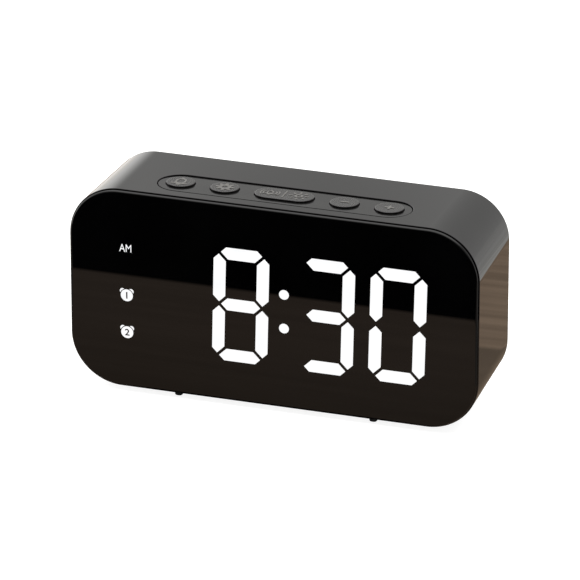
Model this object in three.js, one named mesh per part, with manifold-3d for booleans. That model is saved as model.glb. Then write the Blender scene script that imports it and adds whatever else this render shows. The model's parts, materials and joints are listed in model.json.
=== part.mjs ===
// A bedside digital alarm clock: a rounded black case whose front is one smoked lens over a
// seven-segment display, with five push buttons in a recess along its top, four rubber feet and
// a coin-cell hatch, a sounder and a power socket behind.
// Millimetres, +Z up, the front faces -Y. The origin is on the surface the clock stands on,
// under the middle of its overall box.
import * as THREE from "three";
import { mergeVertices } from "three/addons/utils/BufferGeometryUtils.js";
import Module from "manifold-3d";

const wasm = await Module();
wasm.setup();
const { clamp } = THREE.MathUtils;

// Case
const CASE_WIDTH = 160;
const CASE_HEIGHT = 80;
const CASE_DEPTH = 44;
const CASE_CORNER = 20;
const CASE_DRAFT = 1.5; // how far every side leans in by the rear edge
const CASE_WALL = 2.2;
const DRAFT_ANGLE = Math.atan(CASE_DRAFT / CASE_DEPTH);
const FIT_GAP = 0.3; // clearance between neighbouring pieces
const FACE_GAP = 0.15; // clearance between pieces that lie face to face

// Lens, gasket and front frame, stacked from the front to the back
const LENS_INSET = 0.5; // from the case's outline
const LENS_PROUD = 1.3;
const LENS_RIM = 0.85; // radius round the front face
const LENS_RIM_STEPS = 3;
const LENS_FLANGE_BACK = -0.35;
const LENS_BACK = 0.6;
const LOCATING_GAP = 0.35; // between the case's inner wall and what slips into it
const GASKET_FRONT = LENS_BACK + FACE_GAP;
const GASKET_BACK = GASKET_FRONT + 0.6;
const GASKET_WIDTH = 3.6;
const FRAME_FRONT = GASKET_BACK + FACE_GAP;
const FRAME_BACK = FRAME_FRONT + 1.5;

// Seven-segment display
const DIGIT_WIDTH = 22;
const DIGIT_HEIGHT = 46;
const SEGMENT_WIDTH = 5;
const SEGMENT_GAP = 0.73; // along X or Z, across each mitred joint
const DIGIT_SLANT = 0.022;
const DIGIT_PITCH = 27.8;
const HOUR_X = -12.2;
const MINUTE_X = 49;
const DISPLAY_Z = -0.5;
const COLON_X = 4.8;
const COLON_SPACING = 13.6;
const COLON_DOT = 4;
const INDICATOR_X = -57.3;
const HALF_DAY_Z = 16.7;
const ALARM_1_Z = -2.2;
const ALARM_2_Z = -17.2;
const INDICATOR_WIDTH = 7.4;
const INDICATOR_HEIGHT = 6.4;

const MODULE_WIDTH = 128;
const MODULE_HEIGHT = 49.4;
const FILM_FRONT = LENS_BACK + FIT_GAP;
const FILM_BACK = FILM_FRONT + 0.25;
const FILM_MARGIN = 0.7;
const DIFFUSER_DEPTH = 1.2;
const REFLECTOR_FRONT = FILM_BACK + FIT_GAP;
const REFLECTOR_BACK = 8.5;
const BOARD_THICKNESS = 1.6;
const DISPLAY_BOARD_FRONT = REFLECTOR_BACK + FIT_GAP;
const DISPLAY_BOARD_BACK = DISPLAY_BOARD_FRONT + BOARD_THICKNESS;
const LED_SIZE = [1.6, 0.6, 1];
const LED_SINK = 0.05; // the lamps' solder joins them to the board

// Button deck: the recess in the top, in a frame that leans with the case's top face
const DECK_Y = 13.8;
const RECESS_LENGTH = 99.2;
const RECESS_WIDTH = 18.3;
const RECESS_DEPTH = 0.5;
const PANEL_LIP = 1.2; // how far the panel's flange reaches under the case
const PANEL_FLANGE = 1.2;
const PANEL_STEP = -(CASE_WALL + FIT_GAP);
const PANEL_BOTTOM = PANEL_STEP - PANEL_FLANGE;
const BUTTON_WIDTH = 10.8;
const LONG_BUTTON = 22.8;
const BUTTON_EDGE = 0.4;
const BUTTON_PROUD = 0.25; // above the case's top face
const BUTTON_COLLAR = 1.2;
const BUTTON_COLLAR_THICKNESS = 1;
const BUTTON_TRAVEL = 0.6;
const STEM_DIAMETER = 3.2;
const STEM_LENGTH = 1.8;
const STEM_BOTTOM = PANEL_BOTTOM - FIT_GAP - BUTTON_COLLAR_THICKNESS - STEM_LENGTH;
const PLUNGER_DIAMETER = 3;
const PLUNGER_LENGTH = 2.1;
const PLUNGER_EDGE = 0.3;
const PLUNGER_TOP = STEM_BOTTOM - FIT_GAP;
const SWITCH_SIZE = 6;
const SWITCH_TOP = PLUNGER_TOP - BUTTON_TRAVEL - 0.2;
const SWITCH_HEIGHT = 3.4;
const SWITCH_FLOOR = 0.9;
const KEY_BOARD_TOP = SWITCH_TOP - SWITCH_HEIGHT - FIT_GAP;
const KEY_BOARD_THICKNESS = 1.2;
const KEY_BOARD_SIZE = [96, 15];
const KEY_BOARD_CORNER = 1;
const KEY_POST_X = 32.1; // between two round buttons, and behind their middle
const KEY_POST_Y = 4.6;
const KEY_POST_DIAMETER = 4.4;
const JOIN_SINK = 0.2; // how far a post or a plug runs into the plate that it belongs to
const BUTTONS = [
  { name: "alarm", x: -40.8, length: BUTTON_WIDTH },
  { name: "settings", x: -23.4, length: BUTTON_WIDTH },
  { name: "snooze", x: 0, length: LONG_BUTTON },
  { name: "minus", x: 23.4, length: BUTTON_WIDTH },
  { name: "plus", x: 40.8, length: BUTTON_WIDTH },
];

// Feet
const FOOT_WIDTH = 3;
const FOOT_LENGTH = 11;
const FOOT_CORNER = 1.2;
const FOOT_HEIGHT = 2.1; // below the case's lowest edge
const FOOT_POCKET = 0.8;
const FOOT_X = 38.4;
const FRONT_FOOT_Y = 7.5;
const REAR_FOOT_Y = 36.5;

// Rear cover and what shows through it
const COVER_BACK = CASE_DEPTH - 0.5;
const COVER_THICKNESS = 2;
const COVER_FRONT = COVER_BACK - COVER_THICKNESS;
const POST_X = 68;
const POST_Z = 28;
const POST_DIAMETER = 7;
const SCREW_DIAMETER = 2.4;
const SCREW_HEAD = 5.4;
const SCREW_HEAD_HEIGHT = 1.4;
const SCREW_LENGTH = 10;
const SCREW_SINK = 0.2; // head below the cover's face
const HATCH_SIZE = 28;
const HATCH_CORNER = 3;
const HATCH_THICKNESS = 1;
const HATCH_LEDGE = 1.7;
const HATCH_PLUG = 1.2;
const HATCH_INNER_CORNER = 2;
const HATCH_Z = 2;
const FINGER_SCOOP = [11, 4.4];
const FINGER_SCOOP_DEPTH = 0.9;
const SOUNDER_X = 36;
const SOUNDER_Z = 2;
const SOUNDER_DIAMETER = 24;
const SOUNDER_MOUTH = 4;
const SOUNDER_MOUTH_DEPTH = 2;
const SLOT_HEIGHT = 1.5;
const SLOT_PITCH = 3;
const SLOT_ROWS = 7;
const SOCKET_X = -38;
const SOCKET_Z = -14;
const SOCKET_BODY = 10;
const SOCKET_FLOOR = 1.5;
const SOCKET_SINK = 0.1; // its mouth below the cover's face
const SOCKET_BARREL = 8;
const SOCKET_BORE = 5.6;
const SOCKET_PIN = 2;
const SOCKET_PIN_SINK = 1;
const SOCKET_PIN_EDGE = 0.4;

// Electronics behind the display
const MAIN_BOARD_SIZE = [104, 52];
const MAIN_BOARD_Z = -2;
const MAIN_BOARD_FRONT = 33;
const MAIN_BOARD_BACK = MAIN_BOARD_FRONT + BOARD_THICKNESS;
const MAIN_BOARD_CORNER = 1.5;
const CONTROLLER_SIZE = [12, 1.8, 12];
const CONTROLLER_X = 8;
const CONTROLLER_Z = -8;
const CRYSTAL_SIZE = [10.5, 4];
const CRYSTAL_HEIGHT = 3.2;
const CRYSTAL_X = 24;
const CRYSTAL_Z = -8;
const CAPACITOR_DIAMETER = 8;
const CAPACITOR_LENGTH = 11;
const CAPACITOR_EDGE = 0.5;
const CAPACITOR_CRIMP = 0.4; // depth, and half the width, of the groove near its base
const CAPACITOR_CRIMP_AT = 1.2;
const CAPACITOR_X = -20;
const CAPACITOR_Z = -14;
const CELL_DIAMETER = 20;
const CELL_THICKNESS = 3.2;
const CELL_EDGE = 0.3;
const CELL_LID_INSET = 1.3; // the smaller pole, raised above the can's crimped rim
const CELL_LID_HEIGHT = 0.7;
const HOLDER_WALL = 2;
const HOLDER_FLOOR = 1.2;
const HOLDER_RISE = 0.2; // past the cell's face
const HOLDER_NOTCH = 8; // for a fingertip
const CLIP_STRIP = 0.4;
const CLIP_WIDTH = 5;
const RIBBON_THICKNESS = 0.8;
const RIBBON_STEPS = 10;
const DISPLAY_RIBBON_X = -34;
const DISPLAY_RIBBON_WIDTH = 16;
const DISPLAY_RIBBON_TOP = -16;
const DISPLAY_RIBBON_SAG = 4;
const KEY_RIBBON_X = 38;
const KEY_RIBBON_WIDTH = 10;
const KEY_RIBBON_START = [8, 24.5]; // behind the deck's middle, and up
const KEY_RIBBON_BEND = [12, 22];
const KEY_RIBBON_END_Z = 15;

const MERGE_DISTANCE = 1e-4;
const OVERSHOOT = 1; // how far a cutting shape runs past what it cuts

// How far the case's sides have leaned in at a depth behind its front edge.
function draftAt(y) {
  return (CASE_DRAFT * y) / CASE_DEPTH;
}

function toSolid(geometry) {
  const bare = geometry.clone();
  bare.deleteAttribute("normal");
  bare.deleteAttribute("uv");
  const merged = mergeVertices(bare, MERGE_DISTANCE);
  const mesh = new wasm.Mesh({
    numProp: 3,
    vertProperties: merged.attributes.position.array,
    triVerts: new Uint32Array(merged.index.array),
  });
  return new wasm.Manifold(mesh);
}

function toGeometry(solid) {
  const { vertProperties, triVerts } = solid.getMesh();
  const geometry = new THREE.BufferGeometry();
  geometry.setAttribute("position", new THREE.BufferAttribute(vertProperties, 3));
  geometry.setIndex(new THREE.BufferAttribute(triVerts, 1));
  geometry.computeVertexNormals();
  return geometry;
}

function join(...geometries) {
  return toGeometry(geometries.map(toSolid).reduce((whole, piece) => whole.add(piece)));
}

function cut(geometry, ...tools) {
  const pieces = tools.map(toSolid);
  return toGeometry(pieces.reduce((whole, tool) => whole.subtract(tool), toSolid(geometry)));
}

// A rounded rectangle, a stadium when the radius fills its height, or a circle.
function roundedOutline(width, height, radius) {
  const x = width / 2 - radius;
  const y = height / 2 - radius;
  const quarter = Math.PI / 2;
  const outline = new THREE.Shape();
  if (x <= 0 && y <= 0) return outline.absarc(0, 0, radius, 0, 4 * quarter);
  if (y <= 0) {
    outline.absarc(x, 0, radius, -quarter, quarter);
    return outline.absarc(-x, 0, radius, quarter, 3 * quarter);
  }
  outline.absarc(x, y, radius, 0, quarter);
  outline.absarc(-x, y, radius, quarter, 2 * quarter);
  outline.absarc(-x, -y, radius, 2 * quarter, 3 * quarter);
  return outline.absarc(x, -y, radius, 3 * quarter, 4 * quarter);
}

// A solid along +Z with a rounded outline. Each level is [z, inset], where the outline has
// shrunk by the inset; quarterSteps is the number of facets in a quarter turn.
function profiledPrism(width, height, radius, levels, quarterSteps = 6) {
  const coreX = Math.max(width / 2 - radius, 0);
  const coreY = Math.max(height / 2 - radius, 0);
  const arcQuarters = (coreX > 0 ? 1 : 2) * (coreY > 0 ? 1 : 2);
  const geometry = new THREE.ExtrudeGeometry(roundedOutline(width, height, radius), {
    depth: levels.length - 1,
    steps: levels.length - 1,
    bevelEnabled: false,
    curveSegments: (quarterSteps * arcQuarters) / 2, // an arc gets two facets for each of these
  });
  const points = geometry.attributes.position;
  const outward = new THREE.Vector2();
  for (let i = 0; i < points.count; i++) {
    const x = points.getX(i);
    const y = points.getY(i);
    const [z, inset] = levels[Math.round(points.getZ(i))];
    outward.set(x - clamp(x, -coreX, coreX), y - clamp(y, -coreY, coreY)).normalize();
    points.setXYZ(i, x - outward.x * inset, y - outward.y * inset, z);
  }
  return geometry;
}

function prism(width, height, radius, from, to, quarterSteps) {
  return profiledPrism(width, height, radius, [[from, 0], [to, 0]], quarterSteps);
}

// Turns a shape built along +Z to lie along +Y.
function alongY(geometry) {
  return geometry.rotateX(-Math.PI / 2);
}

function round(diameter, from, to, quarterSteps = 4) {
  return prism(diameter, diameter, diameter / 2, from, to, quarterSteps);
}

function box(size, centre) {
  return new THREE.BoxGeometry(...size).translate(...centre);
}

// A flat outline, drawn as seen from the front, given a thickness from one depth to another.
function frontPlate(shape, from, to) {
  const geometry = new THREE.ExtrudeGeometry(shape, { depth: to - from, bevelEnabled: false });
  return geometry.rotateX(Math.PI / 2).translate(0, to, 0);
}

function piece(name, geometry, material) {
  const mesh = new THREE.Mesh(geometry, material);
  mesh.name = name;
  return mesh;
}

function finish(color, roughness, metalness = 0) {
  return new THREE.MeshStandardMaterial({ color, roughness, metalness });
}

const glossBlack = () => finish(0x131313, 0.12);
const satinBlack = () => finish(0x1d1d1e, 0.35);
const mattBlack = () => finish(0x17181a, 0.7);
const rubberBlack = () => finish(0x121212, 0.9);
const foamBlack = () => finish(0x0d0d0d, 1);
const diffuserWhite = () => finish(0xf7f9ff, 0.55);
const reflectorWhite = () => finish(0xe9ebe8, 0.5);
const boardGreen = () => finish(0x1f5a36, 0.45);
const zincSteel = () => finish(0x9a9c9e, 0.35, 1);
const nickel = () => finish(0xc7c9cc, 0.25, 1);
const ribbonGrey = () => finish(0x9c9fa3, 0.6);

function smokedLens() {
  const material = finish(0x050506, 0.04);
  material.transparent = true;
  material.opacity = 0.9;
  return material;
}

// The outlines of a digit's segments as [name, points], around the digit's centre. Corners are
// mitred at 45 degrees and the digit's own corners are cut off by one segment's width. Grow
// makes every segment that much larger all round.
function segmentOutlines(grow = 0) {
  const x = DIGIT_WIDTH / 2 + grow;
  const z = DIGIT_HEIGHT / 2 + grow;
  const thick = SEGMENT_WIDTH + 2 * grow;
  const gap = SEGMENT_GAP - Math.SQRT2 * grow;
  const innerX = x - thick;
  const innerZ = z - thick;
  const capTip = x - (thick + gap) / 2;
  const sideTip = x - (thick - gap) / 2;
  const cornerSum = x + z - thick;
  const waist = gap + grow * (2 - Math.SQRT2);
  const top = [
    [innerX, z],
    [-innerX, z],
    [-capTip, cornerSum - capTip],
    [-(innerX - gap), innerZ],
    [innerX - gap, innerZ],
    [capTip, cornerSum - capTip],
  ];
  const upperRight = [
    [x, innerZ],
    [sideTip, cornerSum - sideTip],
    [innerX, innerZ - gap],
    [innerX, waist + thick / 2],
    [x - thick / 2, waist],
    [x, waist + thick / 2],
  ];
  const middleTip = x - thick / 2 - gap;
  const middle = [
    [middleTip, 0],
    [middleTip - thick / 2, thick / 2],
    [thick / 2 - middleTip, thick / 2],
    [-middleTip, 0],
    [thick / 2 - middleTip, -thick / 2],
    [middleTip - thick / 2, -thick / 2],
  ];
  const mirrored = (points, signX, signZ) => points.map(([px, pz]) => [px * signX, pz * signZ]);
  return [
    top,
    mirrored(top, 1, -1),
    middle,
    upperRight,
    mirrored(upperRight, -1, 1),
    mirrored(upperRight, 1, -1),
    mirrored(upperRight, -1, -1),
  ];
}

// A digit's segments as solids, slanted and moved to the digit's place on the display.
function digitSegments(digitX, from, to, grow) {
  return segmentOutlines(grow).map((points) => {
    const placed = points.map(
      ([x, z]) => new THREE.Vector2(digitX + x + DIGIT_SLANT * z, DISPLAY_Z + z),
    );
    return frontPlate(new THREE.Shape(placed), from, to);
  });
}

function colonDots(from, to, grow = 0) {
  return [-1, 1].map((side) => {
    const z = DISPLAY_Z + (side * COLON_SPACING) / 2;
    const x = COLON_X + DIGIT_SLANT * (z - DISPLAY_Z);
    return alongY(round(COLON_DOT + 2 * grow, from, to)).translate(x, 0, z);
  });
}

function indicatorWindows(from, to, grow = 0) {
  return [HALF_DAY_Z, ALARM_1_Z, ALARM_2_Z].map((z) => {
    const size = [INDICATOR_WIDTH + 2 * grow, to - from, INDICATOR_HEIGHT + 2 * grow];
    return box(size, [INDICATOR_X, (from + to) / 2, z]);
  });
}

const DIGITS = [
  { name: "hour_tens_diffuser", x: HOUR_X - DIGIT_PITCH },
  { name: "hour_diffuser", x: HOUR_X },
  { name: "minute_tens_diffuser", x: MINUTE_X - DIGIT_PITCH },
  { name: "minute_diffuser", x: MINUTE_X },
];

// Case: a sleeve that leans in towards the back, open at both ends, with the button recess
// through its top and a pocket for each foot.
const deckPlacement = new THREE.Matrix4()
  .makeRotationX(-DRAFT_ANGLE)
  .setPosition(0, DECK_Y, CASE_HEIGHT / 2 - draftAt(DECK_Y));

const FEET = [
  { name: "foot_front_left", x: -FOOT_X, y: FRONT_FOOT_Y },
  { name: "foot_front_right", x: FOOT_X, y: FRONT_FOOT_Y },
  { name: "foot_rear_left", x: -FOOT_X, y: REAR_FOOT_Y },
  { name: "foot_rear_right", x: FOOT_X, y: REAR_FOOT_Y },
];

function footTop(y) {
  return draftAt(y + FOOT_LENGTH / 2) - CASE_HEIGHT / 2 + FOOT_POCKET;
}

function footShape({ x, y }, grow, bottom, top) {
  const size = [FOOT_WIDTH + 2 * grow, FOOT_LENGTH + 2 * grow];
  return prism(...size, FOOT_CORNER + grow, bottom, top, 4).translate(x, y, 0);
}

function makeShell() {
  const outside = alongY(
    profiledPrism(CASE_WIDTH, CASE_HEIGHT, CASE_CORNER, [[0, 0], [CASE_DEPTH, CASE_DRAFT]], 12),
  );
  const ends = [-OVERSHOOT, CASE_DEPTH + OVERSHOOT].map((y) => [y, draftAt(y)]);
  const width = CASE_WIDTH - 2 * CASE_WALL;
  const height = CASE_HEIGHT - 2 * CASE_WALL;
  const hollow = alongY(profiledPrism(width, height, CASE_CORNER - CASE_WALL, ends, 12));
  const recess = prism(RECESS_LENGTH, RECESS_WIDTH, RECESS_WIDTH / 2, -2 * CASE_WALL, OVERSHOOT, 8);
  recess.applyMatrix4(deckPlacement);
  const pockets = FEET.map((foot) =>
    footShape(foot, FIT_GAP, -CASE_HEIGHT, footTop(foot.y) + FIT_GAP),
  );
  return piece("shell", cut(outside, hollow, recess, ...pockets), glossBlack());
}

function makeFoot(foot) {
  const bottom = -CASE_HEIGHT / 2 - FOOT_HEIGHT;
  return piece(foot.name, footShape(foot, 0, bottom, footTop(foot.y)), rubberBlack());
}

// Lens: its rounded rim stands proud of the case, and a step behind locates it inside.
function makeLens() {
  const rim = [];
  for (let i = 0; i <= LENS_RIM_STEPS; i++) {
    const turn = (i / LENS_RIM_STEPS) * (Math.PI / 2);
    rim.push([LENS_RIM * (1 - Math.cos(turn)) - LENS_PROUD, LENS_RIM * (1 - Math.sin(turn))]);
  }
  const step = CASE_WALL + LOCATING_GAP - LENS_INSET;
  const levels = [...rim, [LENS_FLANGE_BACK, 0], [LENS_FLANGE_BACK, step], [LENS_BACK, step]];
  const width = CASE_WIDTH - 2 * LENS_INSET;
  const height = CASE_HEIGHT - 2 * LENS_INSET;
  const plate = profiledPrism(width, height, CASE_CORNER - LENS_INSET, levels, 12);
  return piece("front_lens", alongY(plate), smokedLens());
}

function insidePrism(inset, from, to) {
  const reach = CASE_WALL + LOCATING_GAP + inset;
  const width = CASE_WIDTH - 2 * reach;
  const height = CASE_HEIGHT - 2 * reach;
  return alongY(prism(width, height, CASE_CORNER - reach, from, to, 8));
}

function makeGasket() {
  const ring = insidePrism(FIT_GAP, GASKET_FRONT, GASKET_BACK);
  const middle = insidePrism(FIT_GAP + GASKET_WIDTH, GASKET_FRONT - OVERSHOOT, GASKET_BACK + OVERSHOOT);
  return piece("lens_gasket", cut(ring, middle), foamBlack());
}

const CORNERS = [
  { name: "upper_left", x: -1, z: 1 },
  { name: "upper_right", x: 1, z: 1 },
  { name: "lower_left", x: -1, z: -1 },
  { name: "lower_right", x: 1, z: -1 },
];

// A copy, lying along Y, at each of the four screw posts.
function atPosts(makeShape) {
  return CORNERS.map(({ x, z }) => alongY(makeShape()).translate(x * POST_X, 0, z * POST_Z));
}

// Front frame: a plate behind the lens with the display's window, and four long posts that the
// rear cover's screws bite into.
function makeFrame() {
  const plate = insidePrism(0, FRAME_FRONT, FRAME_BACK);
  const deep = 2 * (FRAME_BACK - FRAME_FRONT + OVERSHOOT);
  const windowSize = [MODULE_WIDTH + 2 * FIT_GAP, deep, MODULE_HEIGHT + 2 * FIT_GAP];
  const window = box(windowSize, [0, FRAME_FRONT, DISPLAY_Z]);
  const postTop = COVER_FRONT - FIT_GAP;
  const posts = atPosts(() => round(POST_DIAMETER, FRAME_FRONT, postTop));
  const pilot = SCREW_DIAMETER + 2 * FIT_GAP;
  const holes = atPosts(() => round(pilot, postTop - SCREW_LENGTH, postTop + OVERSHOOT));
  return piece("front_frame", cut(join(cut(plate, window), ...posts), ...holes), mattBlack());
}

// Display module: diffusers behind the lens, a white reflector with a well for each segment,
// and the board that carries one lamp in each well.
function filmBox(width, height, x, z) {
  return box([width, FILM_BACK - FILM_FRONT, height], [x, (FILM_FRONT + FILM_BACK) / 2, z]);
}

function makeDigitDiffuser({ name, x }) {
  const film = filmBox(DIGIT_WIDTH + 2 * FILM_MARGIN, DIGIT_HEIGHT + 2 * FILM_MARGIN, x, DISPLAY_Z);
  const segments = digitSegments(x, FILM_FRONT, FILM_BACK + DIFFUSER_DEPTH);
  return piece(name, join(film, ...segments), diffuserWhite());
}

function makeColonDiffuser() {
  const film = filmBox(COLON_DOT + FILM_MARGIN, COLON_SPACING + COLON_DOT, COLON_X, DISPLAY_Z);
  const dots = colonDots(FILM_FRONT, FILM_BACK + DIFFUSER_DEPTH);
  return piece("colon_diffuser", join(film, ...dots), diffuserWhite());
}

function makeIndicatorDiffuser() {
  const middleZ = (HALF_DAY_Z + ALARM_2_Z) / 2;
  const film = filmBox(INDICATOR_WIDTH + FILM_MARGIN, HALF_DAY_Z - ALARM_2_Z, INDICATOR_X, middleZ);
  const windows = indicatorWindows(FILM_FRONT, FILM_BACK + DIFFUSER_DEPTH);
  return piece("indicator_diffuser", join(film, ...windows), diffuserWhite());
}

const MODULE_SCREW_INSET = 2.4;
const MODULE_SCREW_X = MODULE_WIDTH / 2 - MODULE_SCREW_INSET;
const MODULE_SCREW_Z = MODULE_HEIGHT / 2 - MODULE_SCREW_INSET;
const SMALL_SCREW = 2;
const SMALL_SCREW_HEAD = 4;
const SMALL_SCREW_HEAD_HEIGHT = 1.2;
const SMALL_SCREW_BITE = 4;

function moduleScrewHoles(from, to) {
  return CORNERS.map(({ x, z }) =>
    alongY(round(SMALL_SCREW + 2 * FIT_GAP, from, to, 3)).translate(
      x * MODULE_SCREW_X,
      0,
      DISPLAY_Z + z * MODULE_SCREW_Z,
    ),
  );
}

function modulePlate(from, to) {
  return box([MODULE_WIDTH, to - from, MODULE_HEIGHT], [0, (from + to) / 2, DISPLAY_Z]);
}

function makeReflector() {
  const from = REFLECTOR_FRONT - OVERSHOOT;
  const to = REFLECTOR_BACK + OVERSHOOT;
  const wells = [
    ...DIGITS.flatMap(({ x }) => digitSegments(x, from, to, FIT_GAP)),
    ...colonDots(from, to, FIT_GAP),
    ...indicatorWindows(from, to, FIT_GAP),
    ...moduleScrewHoles(REFLECTOR_BACK - SMALL_SCREW_BITE - FIT_GAP, to),
  ];
  const block = modulePlate(REFLECTOR_FRONT, REFLECTOR_BACK);
  return piece("display_reflector", cut(block, ...wells), reflectorWhite());
}

function makeDisplayBoard() {
  const board = cut(
    modulePlate(DISPLAY_BOARD_FRONT, DISPLAY_BOARD_BACK),
    ...moduleScrewHoles(DISPLAY_BOARD_FRONT - OVERSHOOT, DISPLAY_BOARD_BACK + OVERSHOOT),
  );
  const sideX = (DIGIT_WIDTH - SEGMENT_WIDTH) / 2;
  const capZ = (DIGIT_HEIGHT - SEGMENT_WIDTH) / 2;
  const sides = CORNERS.map(({ x, z }) => [x * sideX, (z * capZ) / 2]);
  const digitLamps = [[0, capZ], [0, -capZ], [0, 0], ...sides];
  const lamps = DIGITS.flatMap(({ x: digitX }) =>
    digitLamps.map(([x, z]) => [digitX + x, DISPLAY_Z + z]),
  );
  lamps.push([COLON_X, DISPLAY_Z + COLON_SPACING / 2], [COLON_X, DISPLAY_Z - COLON_SPACING / 2]);
  lamps.push(...[HALF_DAY_Z, ALARM_1_Z, ALARM_2_Z].map((z) => [INDICATOR_X, z]));
  const lampY = DISPLAY_BOARD_FRONT - LED_SIZE[1] / 2 + LED_SINK;
  const chips = lamps.map(([x, z]) => box(LED_SIZE, [x, lampY, z]));
  return piece("display_board", join(board, ...chips), boardGreen());
}

// A screw head's crown and cross recess, as shares of its diameter and height
const SCREW_CROWN = 2 / 3;
const CROSS_LENGTH = 0.55;
const CROSS_WIDTH = 0.14;
const CROSS_DEPTH = 0.6;

// A round-headed screw along +Z with its head's top at zero and a cross recess.
function screw(diameter, headDiameter, headHeight, length) {
  const profile = [
    new THREE.Vector2(0, -length),
    new THREE.Vector2(diameter / 2, -length),
    new THREE.Vector2(diameter / 2, -headHeight),
    new THREE.Vector2(headDiameter / 2, -headHeight),
    new THREE.Vector2(headDiameter / 2, -headHeight / 2),
    new THREE.Vector2((headDiameter * SCREW_CROWN) / 2, 0),
    new THREE.Vector2(0, 0),
  ];
  const body = new THREE.LatheGeometry(profile, 12).rotateX(Math.PI / 2);
  const slot = headDiameter * CROSS_LENGTH;
  const width = headDiameter * CROSS_WIDTH;
  const depth = headHeight * CROSS_DEPTH;
  const recess = [[slot, width], [width, slot]].map(([x, y]) => box([x, y, 2 * depth], [0, 0, 0]));
  return cut(body, ...recess);
}

function makeModuleScrew({ name, x, z }) {
  const length = SMALL_SCREW_HEAD_HEIGHT + FIT_GAP + BOARD_THICKNESS + FIT_GAP + SMALL_SCREW_BITE;
  const geometry = alongY(screw(SMALL_SCREW, SMALL_SCREW_HEAD, SMALL_SCREW_HEAD_HEIGHT, length));
  const mesh = piece(`display_screw_${name}`, geometry, zincSteel());
  const headTop = DISPLAY_BOARD_BACK + FIT_GAP + SMALL_SCREW_HEAD_HEIGHT;
  mesh.position.set(x * MODULE_SCREW_X, headTop, DISPLAY_Z + z * MODULE_SCREW_Z);
  return mesh;
}

// Button deck, in its own leaning frame: Z is zero on the case's top face.
function atKeyPosts(makeShape) {
  return [-KEY_POST_X, KEY_POST_X].map((x) => makeShape().translate(x, KEY_POST_Y, 0));
}

function makeButtonPanel() {
  const length = RECESS_LENGTH - 2 * FIT_GAP;
  const width = RECESS_WIDTH - 2 * FIT_GAP;
  const levels = [
    [PANEL_BOTTOM, -PANEL_LIP - FIT_GAP],
    [PANEL_STEP, -PANEL_LIP - FIT_GAP],
    [PANEL_STEP, 0],
    [-RECESS_DEPTH, 0],
  ];
  const plate = profiledPrism(length, width, width / 2, levels, 8);
  const holes = BUTTONS.map(({ x, length: reach }) => {
    const diameter = BUTTON_WIDTH + 2 * FIT_GAP;
    const hole = prism(reach + 2 * FIT_GAP, diameter, diameter / 2, PANEL_BOTTOM - OVERSHOOT, OVERSHOOT);
    return hole.translate(x, 0, 0);
  });
  const postEnd = KEY_BOARD_TOP + FIT_GAP;
  const posts = atKeyPosts(() => round(KEY_POST_DIAMETER, postEnd, PANEL_BOTTOM + JOIN_SINK));
  const pilots = atKeyPosts(() => round(SMALL_SCREW + 2 * FIT_GAP, postEnd - OVERSHOOT, PANEL_BOTTOM, 3));
  return piece("button_panel", cut(join(plate, ...posts), ...holes, ...pilots), satinBlack());
}

function makeButton({ name, x, length }) {
  const collarTop = PANEL_BOTTOM - FIT_GAP;
  const levels = [
    [collarTop - BUTTON_COLLAR_THICKNESS, -BUTTON_COLLAR],
    [collarTop, -BUTTON_COLLAR],
    [collarTop, 0],
    [BUTTON_PROUD - BUTTON_EDGE, 0],
    [BUTTON_PROUD, BUTTON_EDGE],
  ];
  const cap = profiledPrism(length, BUTTON_WIDTH, BUTTON_WIDTH / 2, levels);
  const stem = round(STEM_DIAMETER, STEM_BOTTOM, -BUTTON_EDGE);
  const mesh = piece(`${name}_button`, join(cap, stem), satinBlack());
  mesh.position.x = x;
  return mesh;
}

function makePlunger({ name, x }) {
  const levels = [
    [PLUNGER_TOP - PLUNGER_LENGTH, 0],
    [PLUNGER_TOP - PLUNGER_EDGE, 0],
    [PLUNGER_TOP, PLUNGER_EDGE],
  ];
  const radius = PLUNGER_DIAMETER / 2;
  const geometry = profiledPrism(PLUNGER_DIAMETER, PLUNGER_DIAMETER, radius, levels, 4);
  const mesh = piece(`${name}_switch_plunger`, geometry, mattBlack());
  mesh.position.x = x;
  return mesh;
}

function makeSwitch({ name, x }) {
  const bottom = SWITCH_TOP - SWITCH_HEIGHT;
  const body = box([SWITCH_SIZE, SWITCH_SIZE, SWITCH_HEIGHT], [0, 0, (SWITCH_TOP + bottom) / 2]);
  const well = round(PLUNGER_DIAMETER + 2 * FIT_GAP, bottom + SWITCH_FLOOR, SWITCH_TOP + OVERSHOOT);
  const mesh = piece(`${name}_switch`, cut(body, well), nickel());
  mesh.position.x = x;
  return mesh;
}

function makeKeyBoard() {
  const bottom = KEY_BOARD_TOP - KEY_BOARD_THICKNESS;
  const plate = prism(...KEY_BOARD_SIZE, KEY_BOARD_CORNER, bottom, KEY_BOARD_TOP, 2);
  const ends = [bottom - OVERSHOOT, KEY_BOARD_TOP + OVERSHOOT];
  const holes = atKeyPosts(() => round(SMALL_SCREW + 2 * FIT_GAP, ...ends, 3));
  return piece("key_board", cut(plate, ...holes), boardGreen());
}

function makeKeyBoardScrew(side, x) {
  const length = SMALL_SCREW_HEAD_HEIGHT + FIT_GAP + KEY_BOARD_THICKNESS + FIT_GAP + SMALL_SCREW_BITE;
  const geometry = screw(SMALL_SCREW, SMALL_SCREW_HEAD, SMALL_SCREW_HEAD_HEIGHT, length);
  const mesh = piece(`key_board_screw_${side}`, geometry.rotateX(Math.PI), zincSteel());
  const headTop = KEY_BOARD_TOP - KEY_BOARD_THICKNESS - FIT_GAP - SMALL_SCREW_HEAD_HEIGHT;
  mesh.position.set(x, KEY_POST_Y, headTop);
  return mesh;
}

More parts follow.
